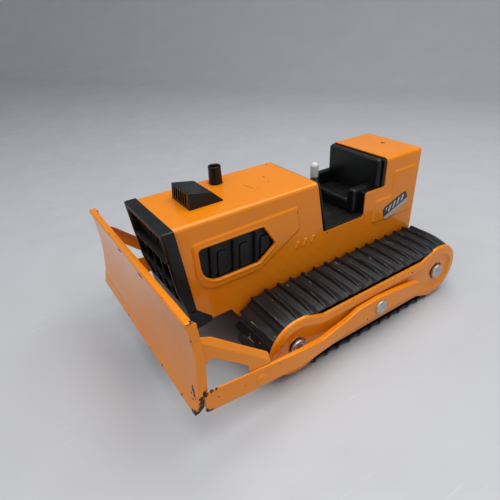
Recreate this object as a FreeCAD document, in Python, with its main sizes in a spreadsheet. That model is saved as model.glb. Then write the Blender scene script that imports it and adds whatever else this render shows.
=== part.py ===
import FreeCAD, Part
import math
import os

import Sketcher
from FreeCAD import Placement, Rotation, Vector

# Pressed-steel toy bulldozer, millimetres. The blade faces -Y, +X is the toy's left side, +Z is up,
# and the tracks stand on Z = 0. Every joint is at rest with the blade held up off the floor.

doc = FreeCAD.newDocument("toy_bulldozer")
sheet = doc.addObject("Spreadsheet::Sheet", "Dims")

DIMENSIONS = [
    # hood, cab cut-out and tank, as one pressed cover
    ("body_width", 74.0), ("sheet_steel", 1.0), ("hood_front", -129.3), ("hood_rear", 6.2),
    ("hood_top", 145.0), ("notch_front", 15.2), ("notch_rear", 68.0), ("notch_floor", 94.0),
    ("step_level", 118.0), ("tank_front", 94.4), ("tank_rear", 147.0), ("tank_top", 146.6),
    ("body_bottom", 19.0), ("front_bottom", 54.3), ("nose_bottom", 70.0), ("nose_seam", -120.6),
    ("corner_radius", 3.6), ("panel_rise", 0.8), ("grille_width", 76.0),
    # running gear
    ("axle_level", 32.2), ("front_axle_y", -56.8), ("rear_axle_y", 127.3), ("axle_radius", 2.5),
    ("track_inner", 40.3), ("track_outer", 87.4), ("belt_inside", 26.3), ("belt_thickness", 2.4),
    ("grouser_height", 3.5), ("grouser_count", 39), ("wheel_radius", 26.0), ("wheel_inner", 41.4),
    ("wheel_outer", 86.3), ("frame_face", 89.0), ("frame_steel", 1.2), ("lobe_radius", 28.8),
    ("shelf_level", 53.6), ("shelf_bottom", 11.0), ("cap_radius", 7.8),
    # blade, push arms and their pivot
    ("blade_width", 204.0), ("blade_steel", 1.2), ("blade_top", 118.6), ("blade_bottom", 37.8),
    ("pivot_y", 37.0), ("pivot_level", 32.5), ("shaft_radius", 3.0), ("arm_outer", 102.0),
    ("arm_rear_face", 94.5), ("arm_steel", 1.4), ("rivet_radius", 7.3),
    # hand lever
    ("lever_x", -22.5), ("lever_y", 55.0), ("lever_level", 46.0), ("lever_steel", 3.0),
    ("lever_reach", 20.0), ("pin_radius", 1.5), ("crank_x", -18.5), ("running_gap", 0.06),
]


def fill_sheet():
    for row, (alias, value) in enumerate(DIMENSIONS, start=1):
        sheet.set(f"A{row}", alias.replace("_", " "))
        sheet.set(f"B{row}", str(value))
        sheet.setAlias(f"B{row}", alias)
    doc.recompute()


def dim(alias):
    return float(sheet.get(alias))


# ---------------------------------------------------------------- sketch and feature helpers


def plane_of(body, role):
    return next(item for item in body.Origin.OriginFeatures if item.Role == role)


def new_body(label):
    body = doc.addObject("PartDesign::Body", label)
    body.Label = label
    return body


def new_sketch(body, role, distance):
    """A sketch on one of the body's own planes, moved along that plane's normal.

    distance is a number, or a formula of sheet aliases that stays bound to the sheet.
    """
    sketch = body.newObject("Sketcher::SketchObject", body.Label + "_sketch")
    sketch.AttachmentSupport = [(plane_of(body, role), "")]
    sketch.MapMode = "FlatFace"
    if isinstance(distance, str):
        sketch.setExpression("AttachmentOffset.Base.z", distance)
    else:
        sketch.AttachmentOffset = Placement(Vector(0, 0, distance), Rotation())
    return sketch


def corner_arc(before, corner, after, radius):
    """Tangent points and middle of the arc that rounds one corner of an outline."""
    into = (before - corner).normalize()
    out = (after - corner).normalize()
    half_angle = into.getAngle(out) / 2
    setback = radius / math.tan(half_angle)
    centre = corner + (into + out).normalize() * (radius / math.sin(half_angle))
    middle = centre + (corner - centre).normalize() * radius
    return corner + into * setback, middle, corner + out * setback


def add_outline(sketch, corners):
    """Closed outline through (u, v) corners; a third value rounds that corner."""
    points = [Vector(corner[0], corner[1], 0) for corner in corners]
    stretches = []
    for index, corner in enumerate(corners):
        before = points[index - 1]
        after = points[(index + 1) % len(points)]
        if len(corner) == 3:
            stretches.append(corner_arc(before, points[index], after, corner[2]))
        else:
            stretches.append((points[index], None, points[index]))
    for index, (start, middle, end) in enumerate(stretches):
        if middle is not None:
            sketch.addGeometry(Part.Arc(start, middle, end), False)
        following = stretches[(index + 1) % len(stretches)][0]
        if (following - end).Length > 1e-6:
            sketch.addGeometry(Part.LineSegment(end, following), False)


def add_rectangle(sketch, low, high):
    add_outline(sketch, [(low[0], low[1]), (high[0], low[1]), (high[0], high[1]), (low[0], high[1])])


def add_circle(sketch, centre, radius):
    """A circle whose radius stays bound to the sheet when it is given as a formula."""
    size = radius if not isinstance(radius, str) else 1.0
    index = sketch.addGeometry(Part.Circle(Vector(centre[0], centre[1], 0), Vector(0, 0, 1), size), False)
    if isinstance(radius, str):
        constraint = sketch.addConstraint(Sketcher.Constraint("Radius", index, size))
        sketch.setExpression(f"Constraints[{constraint}]", radius)


def bind(feature, quantity, value):
    if isinstance(value, str):
        feature.setExpression(quantity, value)
    else:
        setattr(feature, quantity, value)


def pad(body, sketch, length):
    feature = body.newObject("PartDesign::Pad", body.Label + "_pad")
    feature.Profile = sketch
    bind(feature, "Length", length)
    sketch.Visibility = False
    doc.recompute()
    return feature


def pocket(body, sketch, length):
    """Cut from the sketch against its normal, and make sure that it did cut."""
    before = body.Shape.Volume
    feature = body.newObject("PartDesign::Pocket", body.Label + "_pocket")
    feature.Profile = sketch
    bind(feature, "Length", length)
    sketch.Visibility = False
    doc.recompute()
    if body.Shape.Volume > before - 1e-3:
        raise RuntimeError(body.Label + ": a pocket missed the solid")
    return feature


def fillet(body, radius, wanted):
    """Round the edges of the body's last feature that the wanted(edge) test picks."""
    base = body.Tip
    names = [f"Edge{i}" for i, edge in enumerate(base.Shape.Edges, start=1) if wanted(edge)]
    feature = body.newObject("PartDesign::Fillet", body.Label + "_fillet")
    feature.Base = (base, names)
    bind(feature, "Radius", radius)
    doc.recompute()
    return feature


def side_body(label, outline, start, length):
    """Side view outline (y, z) padded along +X from x = start."""
    body = new_body(label)
    sketch = new_sketch(body, "YZ_Plane", start)
    add_outline(sketch, outline)
    pad(body, sketch, length)
    return body


def side_hole(body, centre, radius, reach="Dims.body_width"):
    """Round hole through the whole body along X."""
    sketch = new_sketch(body, "YZ_Plane", reach)
    add_circle(sketch, centre, radius)
    pocket(body, sketch, "2 * " + reach)


def box(label, low, high):
    solid = doc.addObject("Part::Box", label)
    solid.Length = high[0] - low[0]
    solid.Width = high[1] - low[1]
    solid.Height = high[2] - low[2]
    solid.Placement = Placement(Vector(*low), Rotation())
    return solid


def rod(label, start_x, end_x, centre, radius):
    """Cylinder along X whose radius stays bound to the sheet."""
    solid = doc.addObject("Part::Cylinder", label)
    bind(solid, "Radius", radius)
    solid.Height = end_x - start_x
    solid.Placement = Placement(Vector(start_x, centre[0], centre[1]), Rotation(Vector(0, 1, 0), 90))
    return solid


def fuse(label, solids):
    joined = doc.addObject("Part::MultiFuse", label)
    joined.Shapes = solids
    joined.Refine = True
    joined.Label = label
    return joined


def cut(label, base, tool):
    result = doc.addObject("Part::Cut", label)
    result.Base = base
    result.Tool = tool
    result.Label = label
    return result


def common(label, first, second):
    result = doc.addObject("Part::Common", label)
    result.Base = first
    result.Tool = second
    return result


def group(label, solids):
    """Identical fasteners as separate solids in one node."""
    together = doc.addObject("Part::Compound", label)
    together.Links = solids
    together.Label = label
    return together


def mirrored(label, source):
    """The right-hand twin of a left-hand piece."""
    twin = doc.addObject("Part::Mirroring", label)
    twin.Source = source
    twin.Normal = Vector(1, 0, 0)
    twin.Label = label
    return twin


# ---------------------------------------------------------------- hood, cab and tank


def front_axle():
    return dim("front_axle_y"), dim("axle_level")


def rear_axle():
    return dim("rear_axle_y"), dim("axle_level")


def arm_pivot():
    return dim("pivot_y"), dim("pivot_level")


RIVET_SPOTS = [(-20.0, 38.0), (95.0, 38.0)]
RIVET_SHANK = 1.6


def body_shell():
    """One pressed cover: hood, cab cut-out and tank, hollow and open below and in front."""
    body = new_body("body_shell")
    outline = [
        (dim("hood_front"), dim("hood_top")), (dim("hood_rear"), dim("hood_top"), 2.0),
        (dim("notch_front"), dim("notch_floor")), (dim("notch_rear"), dim("notch_floor"), 3.0),
        (dim("notch_rear"), dim("step_level"), 4.0), (dim("tank_front"), dim("step_level"), 2.0),
        (dim("tank_front"), dim("tank_top"), 3.0), (dim("tank_rear"), dim("tank_top"), 5.0),
        (dim("tank_rear"), dim("body_bottom")), (-67.6, dim("body_bottom")),
        (-88.1, dim("front_bottom")), (-106.8, dim("front_bottom")),
        (dim("nose_seam"), dim("nose_bottom")),
    ]
    sketch = new_sketch(body, "YZ_Plane", "-Dims.body_width / 2")
    add_outline(sketch, outline)
    pad(body, sketch, "Dims.body_width")

    def along_a_top_edge(edge):
        middle = edge.CenterOfMass
        on_side = abs(abs(middle.x) - dim("body_width") / 2) < 0.01
        return on_side and middle.z > dim("hood_top") - 8 and edge.Length > 1.0

    fillet(body, "Dims.corner_radius", along_a_top_edge)
    raised_panels(body)
    hollow_body(body)
    window = new_sketch(body, "YZ_Plane", "Dims.body_width")
    add_outline(window, [(-112.5, 122.8, 3.0), (-52.5, 122.5, 2.0), (-40.5, 103.0, 2.5),
                         (-57.5, 90.6, 4.0), (-111.0, 90.6, 16.0)])
    pocket(body, window, "2 * Dims.body_width")
    for centre in (front_axle(), rear_axle()):
        side_hole(body, centre, "Dims.axle_radius")
    side_hole(body, arm_pivot(), "Dims.shaft_radius + Dims.running_gap")
    for spot in RIVET_SPOTS:
        side_hole(body, spot, RIVET_SHANK)
    filler = new_sketch(body, "XY_Plane", "Dims.tank_top + 1")
    add_circle(filler, (0.2, 128.7), 2.0)
    pocket(body, filler, 4.0)
    return body


def raised_panels(body):
    """Embossed panels of both sides: round the window, on the tank, and three plain badge bars."""
    window_panel = [(-118.4, 129.6, 4.0), (-15.5, 131.2, 4.0), (-12.5, 107.0, 5.0),
                    (-57.0, 81.6, 8.0), (-117.4, 81.6, 20.0)]
    tank_panel = [(104.5, 132.2, 3.0), (140.5, 132.2, 3.0), (140.5, 80.0, 4.0),
                  (80.0, 80.0, 4.0), (82.0, 106.8, 3.0), (104.5, 106.8, 3.0)]
    bars = [[(y - 3.4, 88.0, 1.0), (y + 1.0, 88.0, 1.0), (y + 3.6, 96.0, 1.0), (y - 0.8, 96.0, 1.0)]
            for y in (-16.0, -7.0, 2.0)]
    for outline in [window_panel, tank_panel] + bars:
        sketch = new_sketch(body, "YZ_Plane", "-Dims.body_width / 2 - Dims.panel_rise")
        add_outline(sketch, outline)
        pad(body, sketch, "Dims.body_width + 2 * Dims.panel_rise")


def hollow_body(body):
    """Take out the inside, first along the whole cover and then the taller tank."""
    inner = dim("body_width") / 2 - dim("sheet_steel")
    radius = dim("corner_radius") - dim("sheet_steel")
    for top, start, length in ((dim("hood_top"), 135.0, 200.0), (dim("tank_top"), -50.0, 96.0)):
        sketch = new_sketch(body, "XZ_Plane", start)
        lid = top - dim("sheet_steel")
        add_outline(sketch, [(-inner, 10.0), (inner, 10.0), (inner, lid, radius), (-inner, lid, radius)])
        pocket(body, sketch, length)


def grille():
    """Black nose moulding with a recessed header, two bars and two rows of openings."""
    body = new_body("grille")
    seam = [(-106.8, dim("front_bottom")), (dim("nose_seam"), dim("nose_bottom")),
            (dim("hood_front"), dim("hood_top"))]
    outline = seam + [(-139.5, dim("hood_top"), 1.0), (-136.6, 118.5), (-133.5, 92.0),
                      (-128.0, 69.5), (-122.6, 50.5), (-108.0, 52.0)]
    sketch = new_sketch(body, "YZ_Plane", "-Dims.grille_width / 2")
    add_outline(sketch, outline)
    pad(body, sketch, "Dims.grille_width")
    rows = [(123.0, 139.0, -134.0, 1), (100.0, 116.5, -129.5, 4), (74.0, 94.5, -124.5, 4)]
    for low, high, floor, cells in rows:
        sketch = new_sketch(body, "XZ_Plane", 145.0)
        for left, right in cell_edges(-33.0, 33.0, cells, 2.4):
            add_rectangle(sketch, (left, low), (right, high))
        pocket(body, sketch, 145.0 + floor)
    return body


def cell_edges(left, right, cells, wall):
    """Left and right edge of each of a row of equal cells between two limits."""
    width = (right - left - wall * (cells - 1)) / cells
    return [(left + i * (width + wall), left + i * (width + wall) + width) for i in range(cells)]


def air_intake():
    """Wedge-shaped air cleaner on the hood with upright louvre slots in its front."""
    top = dim("hood_top")
    body = side_body("air_intake", [(-105.2, top), (-104.2, top + 13.8, 1.0), (-84.5, top + 10.0, 1.5),
                                    (-75.0, top + 0.8), (-75.0, top)], -17.0, 32.0)
    sketch = new_sketch(body, "XZ_Plane", 106.0)
    for left, right in cell_edges(-14.0, 12.0, 6, 2.0):
        add_rectangle(sketch, (left, top + 2.5), (right, top + 11.5))
    pocket(body, sketch, 4.5)
    return body


def exhaust_stack():
    tube = doc.addObject("Part::Cone", "stack_outside")
    tube.Radius1 = 6.2
    tube.Radius2 = 5.7
    tube.Height = 15.9
    bore = doc.addObject("Part::Cylinder", "stack_bore")
    bore.Radius = 3.8
    bore.Height = 10.0
    for solid, rise in ((tube, ""), (bore, " + 8")):
        solid.Placement = Placement(Vector(-21.9, -60.8, 0), Rotation())
        solid.setExpression("Placement.Base.z", "Dims.hood_top" + rise)
    return cut("exhaust_stack", tube, bore)


def engine_block():
    """Black moulding under the hood, seen through both side windows, with ribs and cover plates."""
    body = new_body("engine_block")
    sketch = new_sketch(body, "XZ_Plane", 117.0)
    add_outline(sketch, [(-33.0, 86.0), (-31.0, 86.0), (-31.0, 128.0), (31.0, 128.0), (31.0, 86.0),
                         (33.0, 86.0), (33.0, 130.0), (-33.0, 130.0)])
    feature = pad(body, sketch, 80.0)
    feature.Reversed = True
    ribs = [[(y - 2.2, 87.0), (y + 2.2, 87.0), (y + 0.8, 122.0), (y - 0.8, 122.0)]
            for y in (-101.0, -80.0, -59.0)]
    plates = [[(y - 5.5, 90.0, 2.0), (y + 5.5, 90.0, 2.0), (y + 4.5, 112.0, 3.0), (y - 4.5, 112.0, 3.0)]
              for y in (-90.5, -69.5, -49.0)]
    for outlines, rise in ((ribs, 2.6), (plates, 1.4)):
        for outline in outlines:
            for start in (33.0, -33.0 - rise):
                sketch = new_sketch(body, "YZ_Plane", start)
                add_outline(sketch, outline)
                pad(body, sketch, rise)
    return body


def seat_insert():
    """Black cab moulding: front wall, floor with a lever slot, seat, two armrests and a backrest."""
    half = dim("body_width") / 2 - dim("sheet_steel") - 0.1
    floor = dim("notch_floor") - 1.0
    wall = side_body("cab_front_wall", [(7.2, dim("hood_top") - 1.4), (9.4, dim("hood_top") - 1.4),
                                        (18.0, floor), (15.8, floor)], -half, 2 * half)
    blocks = [
        box("cab_floor", (-half, 15.8, floor), (half, 93.8, floor + 2.0)),
        box("seat_cushion", (-28.0, 61.0, floor), (18.0, 87.0, 108.0)),
        box("left_armrest", (18.0, 61.5, floor), (27.0, 87.0, 119.5)),
        box("left_ledge", (27.0, 69.5, floor), (half, 93.8, 117.0)),
        box("right_armrest", (-half, 70.0, floor), (-28.0, 93.8, 117.0)),
        box("right_armrest_front", (-half + 1.0, 60.0, floor), (-28.0, 87.0, 120.5)),
        box("rear_rim", (-half, 91.0, floor), (half, 93.8, 145.0)),
    ]
    back = doc.addObject("Part::Fillet", "backrest")
    back.Base = box("backrest_block", (-34.0, 85.0, floor), (34.0, 92.0, 146.0))
    doc.recompute()
    front_edges = [i for i, edge in enumerate(back.Base.Shape.Edges, start=1)
                   if abs(edge.CenterOfMass.y - 85.0) < 0.01 and edge.CenterOfMass.z > floor + 1]
    back.Edges = [(index, 4.0, 4.0) for index in front_edges]
    solid = fuse("seat_solid", [wall, back] + blocks)
    slot = box("lever_slot", (dim("lever_x") - 2.7, 27.0, floor - 5), (dim("lever_x") + 2.7, 60.6, 98.0))
    return cut("seat_insert", solid, slot)


def chassis_plate():
    """Channel under the cover that carries the axles, the cross shaft and the lever bracket."""
    body = new_body("chassis_plate")
    half = dim("body_width") / 2 - dim("sheet_steel")
    inside = half - 1.2
    low = dim("body_bottom") + 1.0
    sketch = new_sketch(body, "XZ_Plane", -144.0)
    add_outline(sketch, [(-half, low), (half, low), (half, 44.0), (inside, 44.0), (inside, low + 1.2),
                         (-inside, low + 1.2), (-inside, 44.0), (-half, 44.0)])
    pad(body, sketch, 207.0)
    for centre in (front_axle(), rear_axle()):
        side_hole(body, centre, "Dims.axle_radius")
    side_hole(body, arm_pivot(), "Dims.shaft_radius + Dims.running_gap")
    for spot in RIVET_SPOTS:
        side_hole(body, spot, RIVET_SHANK)
    return body


def chassis_rivets():
    """Four rivets that hold the cover to the chassis channel."""
    half = dim("body_width") / 2
    rivets = []
    for side in (1, -1):
        for y, z in RIVET_SPOTS:
            ends = sorted((side * (half - 2.2), side * half))
            head_ends = sorted((side * half, side * (half + 1.2)))
            shank = rod("rivet_shank", ends[0], ends[1], (y, z), RIVET_SHANK)
            head = rod("rivet_head", head_ends[0], head_ends[1], (y, z), 3.0)
            rivets.append(fuse("chassis_rivet", [shank, head]))
    return group("chassis_rivets", rivets)


def side_sticker():
    """Plain decal that stands in for the maker's sticker on the tank."""
    face = dim("body_width") / 2 + dim("panel_rise")
    body = side_body("side_sticker_left", [(-18.0, -7.5, 5.0), (18.0, -7.5, 5.0), (18.0, 7.5, 5.0),
                                           (-18.0, 7.5, 5.0)], 0.0, 0.3)
    body.Placement = Placement(Vector(face, 113.0, 93.0), Rotation(Vector(1, 0, 0), 20))
    return body


# ---------------------------------------------------------------- running gear


def wheel(label, axle_y):
    """Hollow plastic drum that carries the belt, turned about the axle."""
    body = new_body(label)
    sketch = new_sketch(body, "XY_Plane", 0.0)
    bore = dim("axle_radius") + 0.05
    inner, outer = dim("wheel_inner"), dim("wheel_outer")
    middle = (inner + outer) / 2
    rim = dim("wheel_radius") - 2.6
    add_outline(sketch, [(inner, bore), (outer, bore), (outer, 7.0), (middle + 2, 7.0), (middle + 2, rim),
                         (outer, rim), (outer, dim("wheel_radius")), (inner, dim("wheel_radius")),
                         (inner, rim), (middle - 2, rim), (middle - 2, 7.0), (inner, 7.0)])
    turned = body.newObject("PartDesign::Revolution", label + "_turned")
    turned.Profile = sketch
    turned.ReferenceAxis = (sketch, ["H_Axis"])
    turned.Angle = 360.0
    sketch.Visibility = False
    body.setExpression("Placement.Base.y", axle_y)
    body.setExpression("Placement.Base.z", "Dims.axle_level")
    return body


def track_belt():
    """Endless belt round both wheels of one side, with a sawtooth grouser at every pitch."""
    front, rear = dim("front_axle_y"), dim("rear_axle_y")
    inside = dim("belt_inside")
    base = inside + dim("belt_thickness")
    tip = base + dim("grouser_height")
    straight = rear - front
    count = int(dim("grouser_count"))
    pitch = (2 * straight + 2 * math.pi * base) / count

    def along(distance, radius):
        """Point at a given radius after a distance along the base line, from the top front."""
        distance %= pitch * count
        bend = math.pi * base
        if distance < straight:
            return Vector(0, front + distance, radius)
        if distance < straight + bend:
            angle = math.pi / 2 - (distance - straight) / base
            return Vector(0, rear + radius * math.cos(angle), radius * math.sin(angle))
        if distance < 2 * straight + bend:
            return Vector(0, rear - (distance - straight - bend), -radius)
        angle = -math.pi / 2 - (distance - 2 * straight - bend) / base
        return Vector(0, front + radius * math.cos(angle), radius * math.sin(angle))

    outline = []
    for number in range(count):
        start = number * pitch
        for share, radius in ((0.0, base), (0.12, tip), (0.26, tip), (0.98, base)):
            outline.append(along(start + share * pitch, radius))
    outline.append(outline[0])
    outer_face = Part.Face(Part.makePolygon(outline))
    bottom, top = Vector(0, front, -inside), Vector(0, front, inside)
    bottom_rear, top_rear = Vector(0, rear, -inside), Vector(0, rear, inside)
    inner_wire = Part.Wire([
        Part.LineSegment(top, top_rear).toShape(),
        Part.Arc(top_rear, Vector(0, rear + inside, 0), bottom_rear).toShape(),
        Part.LineSegment(bottom_rear, bottom).toShape(),
        Part.Arc(bottom, Vector(0, front - inside, 0), top).toShape(),
    ])
    width = dim("track_outer") - dim("track_inner")
    solid = outer_face.extrude(Vector(width, 0, 0)).cut(Part.Face(inner_wire).extrude(Vector(width, 0, 0)))
    belt = doc.addObject("Part::Feature", "track_belt_left")
    belt.Label = "track_belt_left"
    belt.Shape = solid.Solids[0]
    belt.Placement = Placement(Vector(dim("track_inner"), 0, dim("axle_level")), Rotation())
    return belt


def track_frame():
    """Orange side plate with round ends over both hubs and flanges folded in under the belt."""
    body = new_body("track_frame_left")
    front, rear = front_axle()[0], rear_axle()[0]
    level, radius = dim("axle_level"), dim("lobe_radius")
    reach, rise = radius * math.cos(math.radians(70)), radius * math.sin(math.radians(70))
    shelf, bottom = dim("shelf_level"), dim("shelf_bottom")
    sketch = new_sketch(body, "YZ_Plane", "Dims.frame_face - Dims.frame_steel")
    front_top, front_low = (front + reach, level + rise), (front + reach, level - rise)
    rear_top, rear_low = (rear - reach, level + rise), (rear - reach, level - rise)
    corners = [front_top, (-27.0, shelf), (98.0, shelf), rear_top, None, rear_low, (98.0, bottom),
               (-27.0, bottom), front_low, None]
    arcs = {4: (rear + radius, level), 9: (front - radius, level)}
    for index, corner in enumerate(corners):
        following = corners[(index + 1) % len(corners)]
        if corner is not None and following is not None:
            start, end = Vector(corner[0], corner[1], 0), Vector(following[0], following[1], 0)
            sketch.addGeometry(Part.LineSegment(start, end), False)
    for index, middle in arcs.items():
        start, end = corners[index - 1], corners[(index + 1) % len(corners)]
        sketch.addGeometry(Part.Arc(Vector(start[0], start[1], 0), Vector(middle[0], middle[1], 0),
                                    Vector(end[0], end[1], 0)), False)
    pad(body, sketch, "Dims.frame_steel")
    for low in (shelf - dim("frame_steel"), bottom):
        sketch = new_sketch(body, "YZ_Plane", "Dims.frame_face - 9")
        add_rectangle(sketch, (-25.0, low), (96.0, low + dim("frame_steel")))
        pad(body, sketch, 8.5)
    for y in (front, rear):
        sketch = new_sketch(body, "YZ_Plane", "Dims.frame_face - 0.5")
        add_circle(sketch, (y, level), 21.5)
        add_circle(sketch, (y, level), 18.5)
        pad(body, sketch, 1.3)
    for centre in (front_axle(), rear_axle()):
        side_hole(body, centre, "Dims.axle_radius", "Dims.blade_width")
    side_hole(body, arm_pivot(), "Dims.shaft_radius + Dims.running_gap", "Dims.blade_width")
    return body


def axle(label, centre):
    half = dim("frame_face") + 1.0
    solid = rod(label, -half, half, centre, "Dims.axle_radius")
    solid.Label = label
    return solid


def axle_caps():
    """Domed push-on caps over the four axle ends."""
    caps = []
    face = dim("frame_face")
    for side in (1, -1):
        for centre in (front_axle(), rear_axle()):
            blank = rod("cap_blank", *sorted((side * face, side * (face + 2.6))), centre, "Dims.cap_radius")
            rounded = doc.addObject("Part::Fillet", "cap_dome")
            rounded.Base = blank
            doc.recompute()
            rim = [i for i, edge in enumerate(blank.Shape.Edges, start=1)
                   if abs(edge.CenterOfMass.x - side * (face + 2.6)) < 0.01 and edge.Length > 20]
            rounded.Edges = [(index, 1.6, 1.6) for index in rim]
            socket = rod("cap_socket", *sorted((side * face, side * (face + 1.0))), centre,
                         "Dims.axle_radius")
            caps.append(cut("axle_cap", rounded, socket))
    return group("axle_caps", caps)


def axle_spacers():
    """Plain tubes on the axles between the cover and the wheels."""
    spacers = []
    near, far = dim("body_width") / 2, dim("wheel_inner") - 0.3
    for side in (1, -1):
        for centre in (front_axle(), rear_axle()):
            ends = sorted((side * near, side * far))
            tube = rod("spacer_outside", ends[0], ends[1], centre, 5.0)
            hole = rod("spacer_hole", ends[0], ends[1], centre, "Dims.axle_radius")
            spacers.append(cut("axle_spacer", tube, hole))
    return group("axle_spacers", spacers)


# ---------------------------------------------------------------- blade and push arms


def blade():
    """Curved plate with a folded top lip, two tab slots and an end flange at each side."""
    body = new_body("blade")
    steel = dim("blade_steel")
    top, bottom = dim("blade_top"), dim("blade_bottom")
    front_top, front_bottom = Vector(-156.4, top, 0), Vector(-159.4, bottom, 0)
    front_middle, back_middle = Vector(-153.2, 80.0, 0), Vector(-153.2 + steel, 80.0, 0)
    back_top, back_bottom = Vector(-156.4 + steel, top - steel, 0), Vector(-159.4 + steel, bottom, 0)
    lip_low, lip_high = Vector(-152.0, top - steel, 0), Vector(-152.0, top, 0)
    sketch = new_sketch(body, "YZ_Plane", "-Dims.blade_width / 2")
    sketch.addGeometry(Part.Arc(front_top, front_middle, front_bottom), False)
    sketch.addGeometry(Part.LineSegment(front_bottom, back_bottom), False)
    sketch.addGeometry(Part.Arc(back_bottom, back_middle, back_top), False)
    for start, end in ((back_top, lip_low), (lip_low, lip_high), (lip_high, front_top)):
        sketch.addGeometry(Part.LineSegment(start, end), False)
    pad(body, sketch, "Dims.blade_width")
    flange = [(-158.5, 38.6), (-155.1, 54.0), (-153.2, 70.0), (-152.6, 85.0), (-153.2, 100.0),
              (-155.2, 115.0), (-149.0, 114.0, 2.0), (-147.6, 100.0), (-146.5, 76.0), (-148.0, 58.0),
              (-151.5, 55.5), (-151.5, 42.0)]
    for start in ("-Dims.blade_width / 2", "Dims.blade_width / 2 - Dims.blade_steel"):
        sketch = new_sketch(body, "YZ_Plane", start)
        add_outline(sketch, flange)
        pad(body, sketch, "Dims.blade_steel")
    slots = new_sketch(body, "XZ_Plane", 160.0)
    for x in (-23.0, 23.0):
        add_rectangle(slots, (x - 4.0, 109.8), (x + 4.0, 111.8))
    pocket(body, slots, 12.0)
    return body


def blade_stiffener():
    """Pressed strap fixed behind the blade by its folded head and its foot."""
    plate = box("stiffener_plate", (-30.0, -150.4, 56.0), (30.0, -149.0, 104.0))
    foot = box("stiffener_foot", (-30.0, -151.8, 72.0), (30.0, -150.4, 88.0))
    head = box("stiffener_head", (-30.0, -152.6, 102.6), (30.0, -150.4, 104.0))
    return fuse("blade_stiffener", [plate, foot, head])


def arm_side_outline():
    """Side view of a push arm (y, z), clockwise from the front top corner."""
    return [(-151.0, 54.4, 2.0), (-113.0, 49.4), (-66.0, 43.0), (-38.0, 36.6), (-8.0, 37.6), (8.6, 43.4),
            (34.0, 44.6), (62.0, 42.0), (92.0, 38.2, 3.0), (92.0, 23.0, 3.0), (37.0, 23.6),
            (-26.0, 22.6), (-55.0, 24.6), (-76.0, 27.0), (-114.0, 29.8), (-150.6, 34.0, 2.0)]


def arm_plan(inner_front, outer_front, inner_rear, outer_rear):
    """Plan view of a strip that follows the arm's bend, as an (x, y) outline."""
    bend_start, bend_end = -64.0, -10.0
    return [(outer_front, -153.0), (outer_front, bend_start), (outer_rear, bend_end), (outer_rear, 95.0),
            (inner_rear, 95.0), (inner_rear, bend_end), (inner_front, bend_start), (inner_front, -153.0)]


def plan_body(label, outline):
    body = new_body(label)
    sketch = new_sketch(body, "XY_Plane", 10.0)
    add_outline(sketch, outline)
    pad(body, sketch, 55.0)
    return body


def push_arm():
    """Bent steel arm with its top edge folded inwards as a flange."""
    steel = dim("arm_steel")
    outer, rear = dim("arm_outer"), dim("arm_rear_face")
    side = side_body("arm_side_view", arm_side_outline(), 85.0, 20.0)
    web_plan = plan_body("arm_web_plan", arm_plan(outer - steel, outer, rear - steel, rear))
    web = common("arm_web", side, web_plan)
    upper = arm_side_outline()[2:9]
    lower = [(y, z - steel) for y, z, *rest in reversed(upper)]
    start_y, start_z = -91.0, 46.2
    top_edge = [(start_y, start_z), *[(y, z) for y, z, *rest in upper], *lower, (start_y, start_z - steel)]
    top_side = side_body("arm_flange_side", top_edge, 85.0, 20.0)
    flange_plan = plan_body("arm_flange_plan", arm_plan(outer - 4.0, outer - 0.4, rear - 5.2, rear - 0.4))
    flange = common("arm_flange", top_side, flange_plan)
    arm = fuse("arm_blank", [web, flange])
    hole = rod("arm_pivot_hole", 80.0, 105.0, arm_pivot(), "Dims.shaft_radius")
    drilled = cut("arm_drilled", arm, hole)
    rivet_hole = rod("arm_rivet_hole", 90.0, 105.0, (-103.0, 37.0), 2.0)
    return cut("push_arm_left", drilled, rivet_hole)


def end_bracket():
    """Side plate inside the push arm that braces the blade's end."""
    steel = dim("blade_steel")
    outline = [(-151.6, 42.0), (-149.0, 102.0, 2.0), (-138.0, 95.5), (-93.6, 55.8, 2.0), (-93.6, 32.0, 3.0),
               (-112.0, 33.0, 3.0), (-113.0, 56.2, 2.0), (-141.5, 82.0, 4.0), (-147.0, 76.0, 3.0),
               (-147.8, 42.0)]
    start = dim("arm_outer") - dim("arm_steel") - 0.2 - steel
    body = side_body("end_bracket_left", outline, start, "Dims.blade_steel")
    side_hole(body, (-103.0, 37.0), 2.0, "Dims.blade_width")
    return body


def arm_rivets():
    """Painted rivets that hold the end brackets to the push arms."""
    rivets = []
    face = dim("arm_outer")
    for side in (1, -1):
        shank = rod("arm_rivet_shank", *sorted((side * 98.0, side * face)), (-103.0, 37.0), 2.0)
        head = rod("arm_rivet_head", *sorted((side * face, side * (face + 1.2))), (-103.0, 37.0), 5.2)
        rivets.append(fuse("arm_rivet", [shank, head]))
    return group("arm_rivets", rivets)


def cross_shaft():
    """Steel shaft that joins both push arms and turns in the chassis and the track frames."""
    half = dim("arm_rear_face")
    solid = rod("cross_shaft", -half, half, arm_pivot(), "Dims.shaft_radius")
    solid.Label = "cross_shaft"
    return solid


def pivot_heads():
    """Bright domed heads over the shaft ends, outside the push arms."""
    heads = []
    face = dim("arm_rear_face")
    for side in (1, -1):
        blank = rod("head_blank", *sorted((side * face, side * (face + 2.4))), arm_pivot(),
                    "Dims.rivet_radius")
        rounded = doc.addObject("Part::Fillet", "pivot_head")
        rounded.Base = blank
        doc.recompute()
        rim = [i for i, edge in enumerate(blank.Shape.Edges, start=1)
               if abs(edge.CenterOfMass.x - side * (face + 2.4)) < 0.01 and edge.Length > 20]
        rounded.Edges = [(index, 1.5, 1.5) for index in rim]
        heads.append(rounded)
    return group("pivot_heads", heads)


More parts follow.
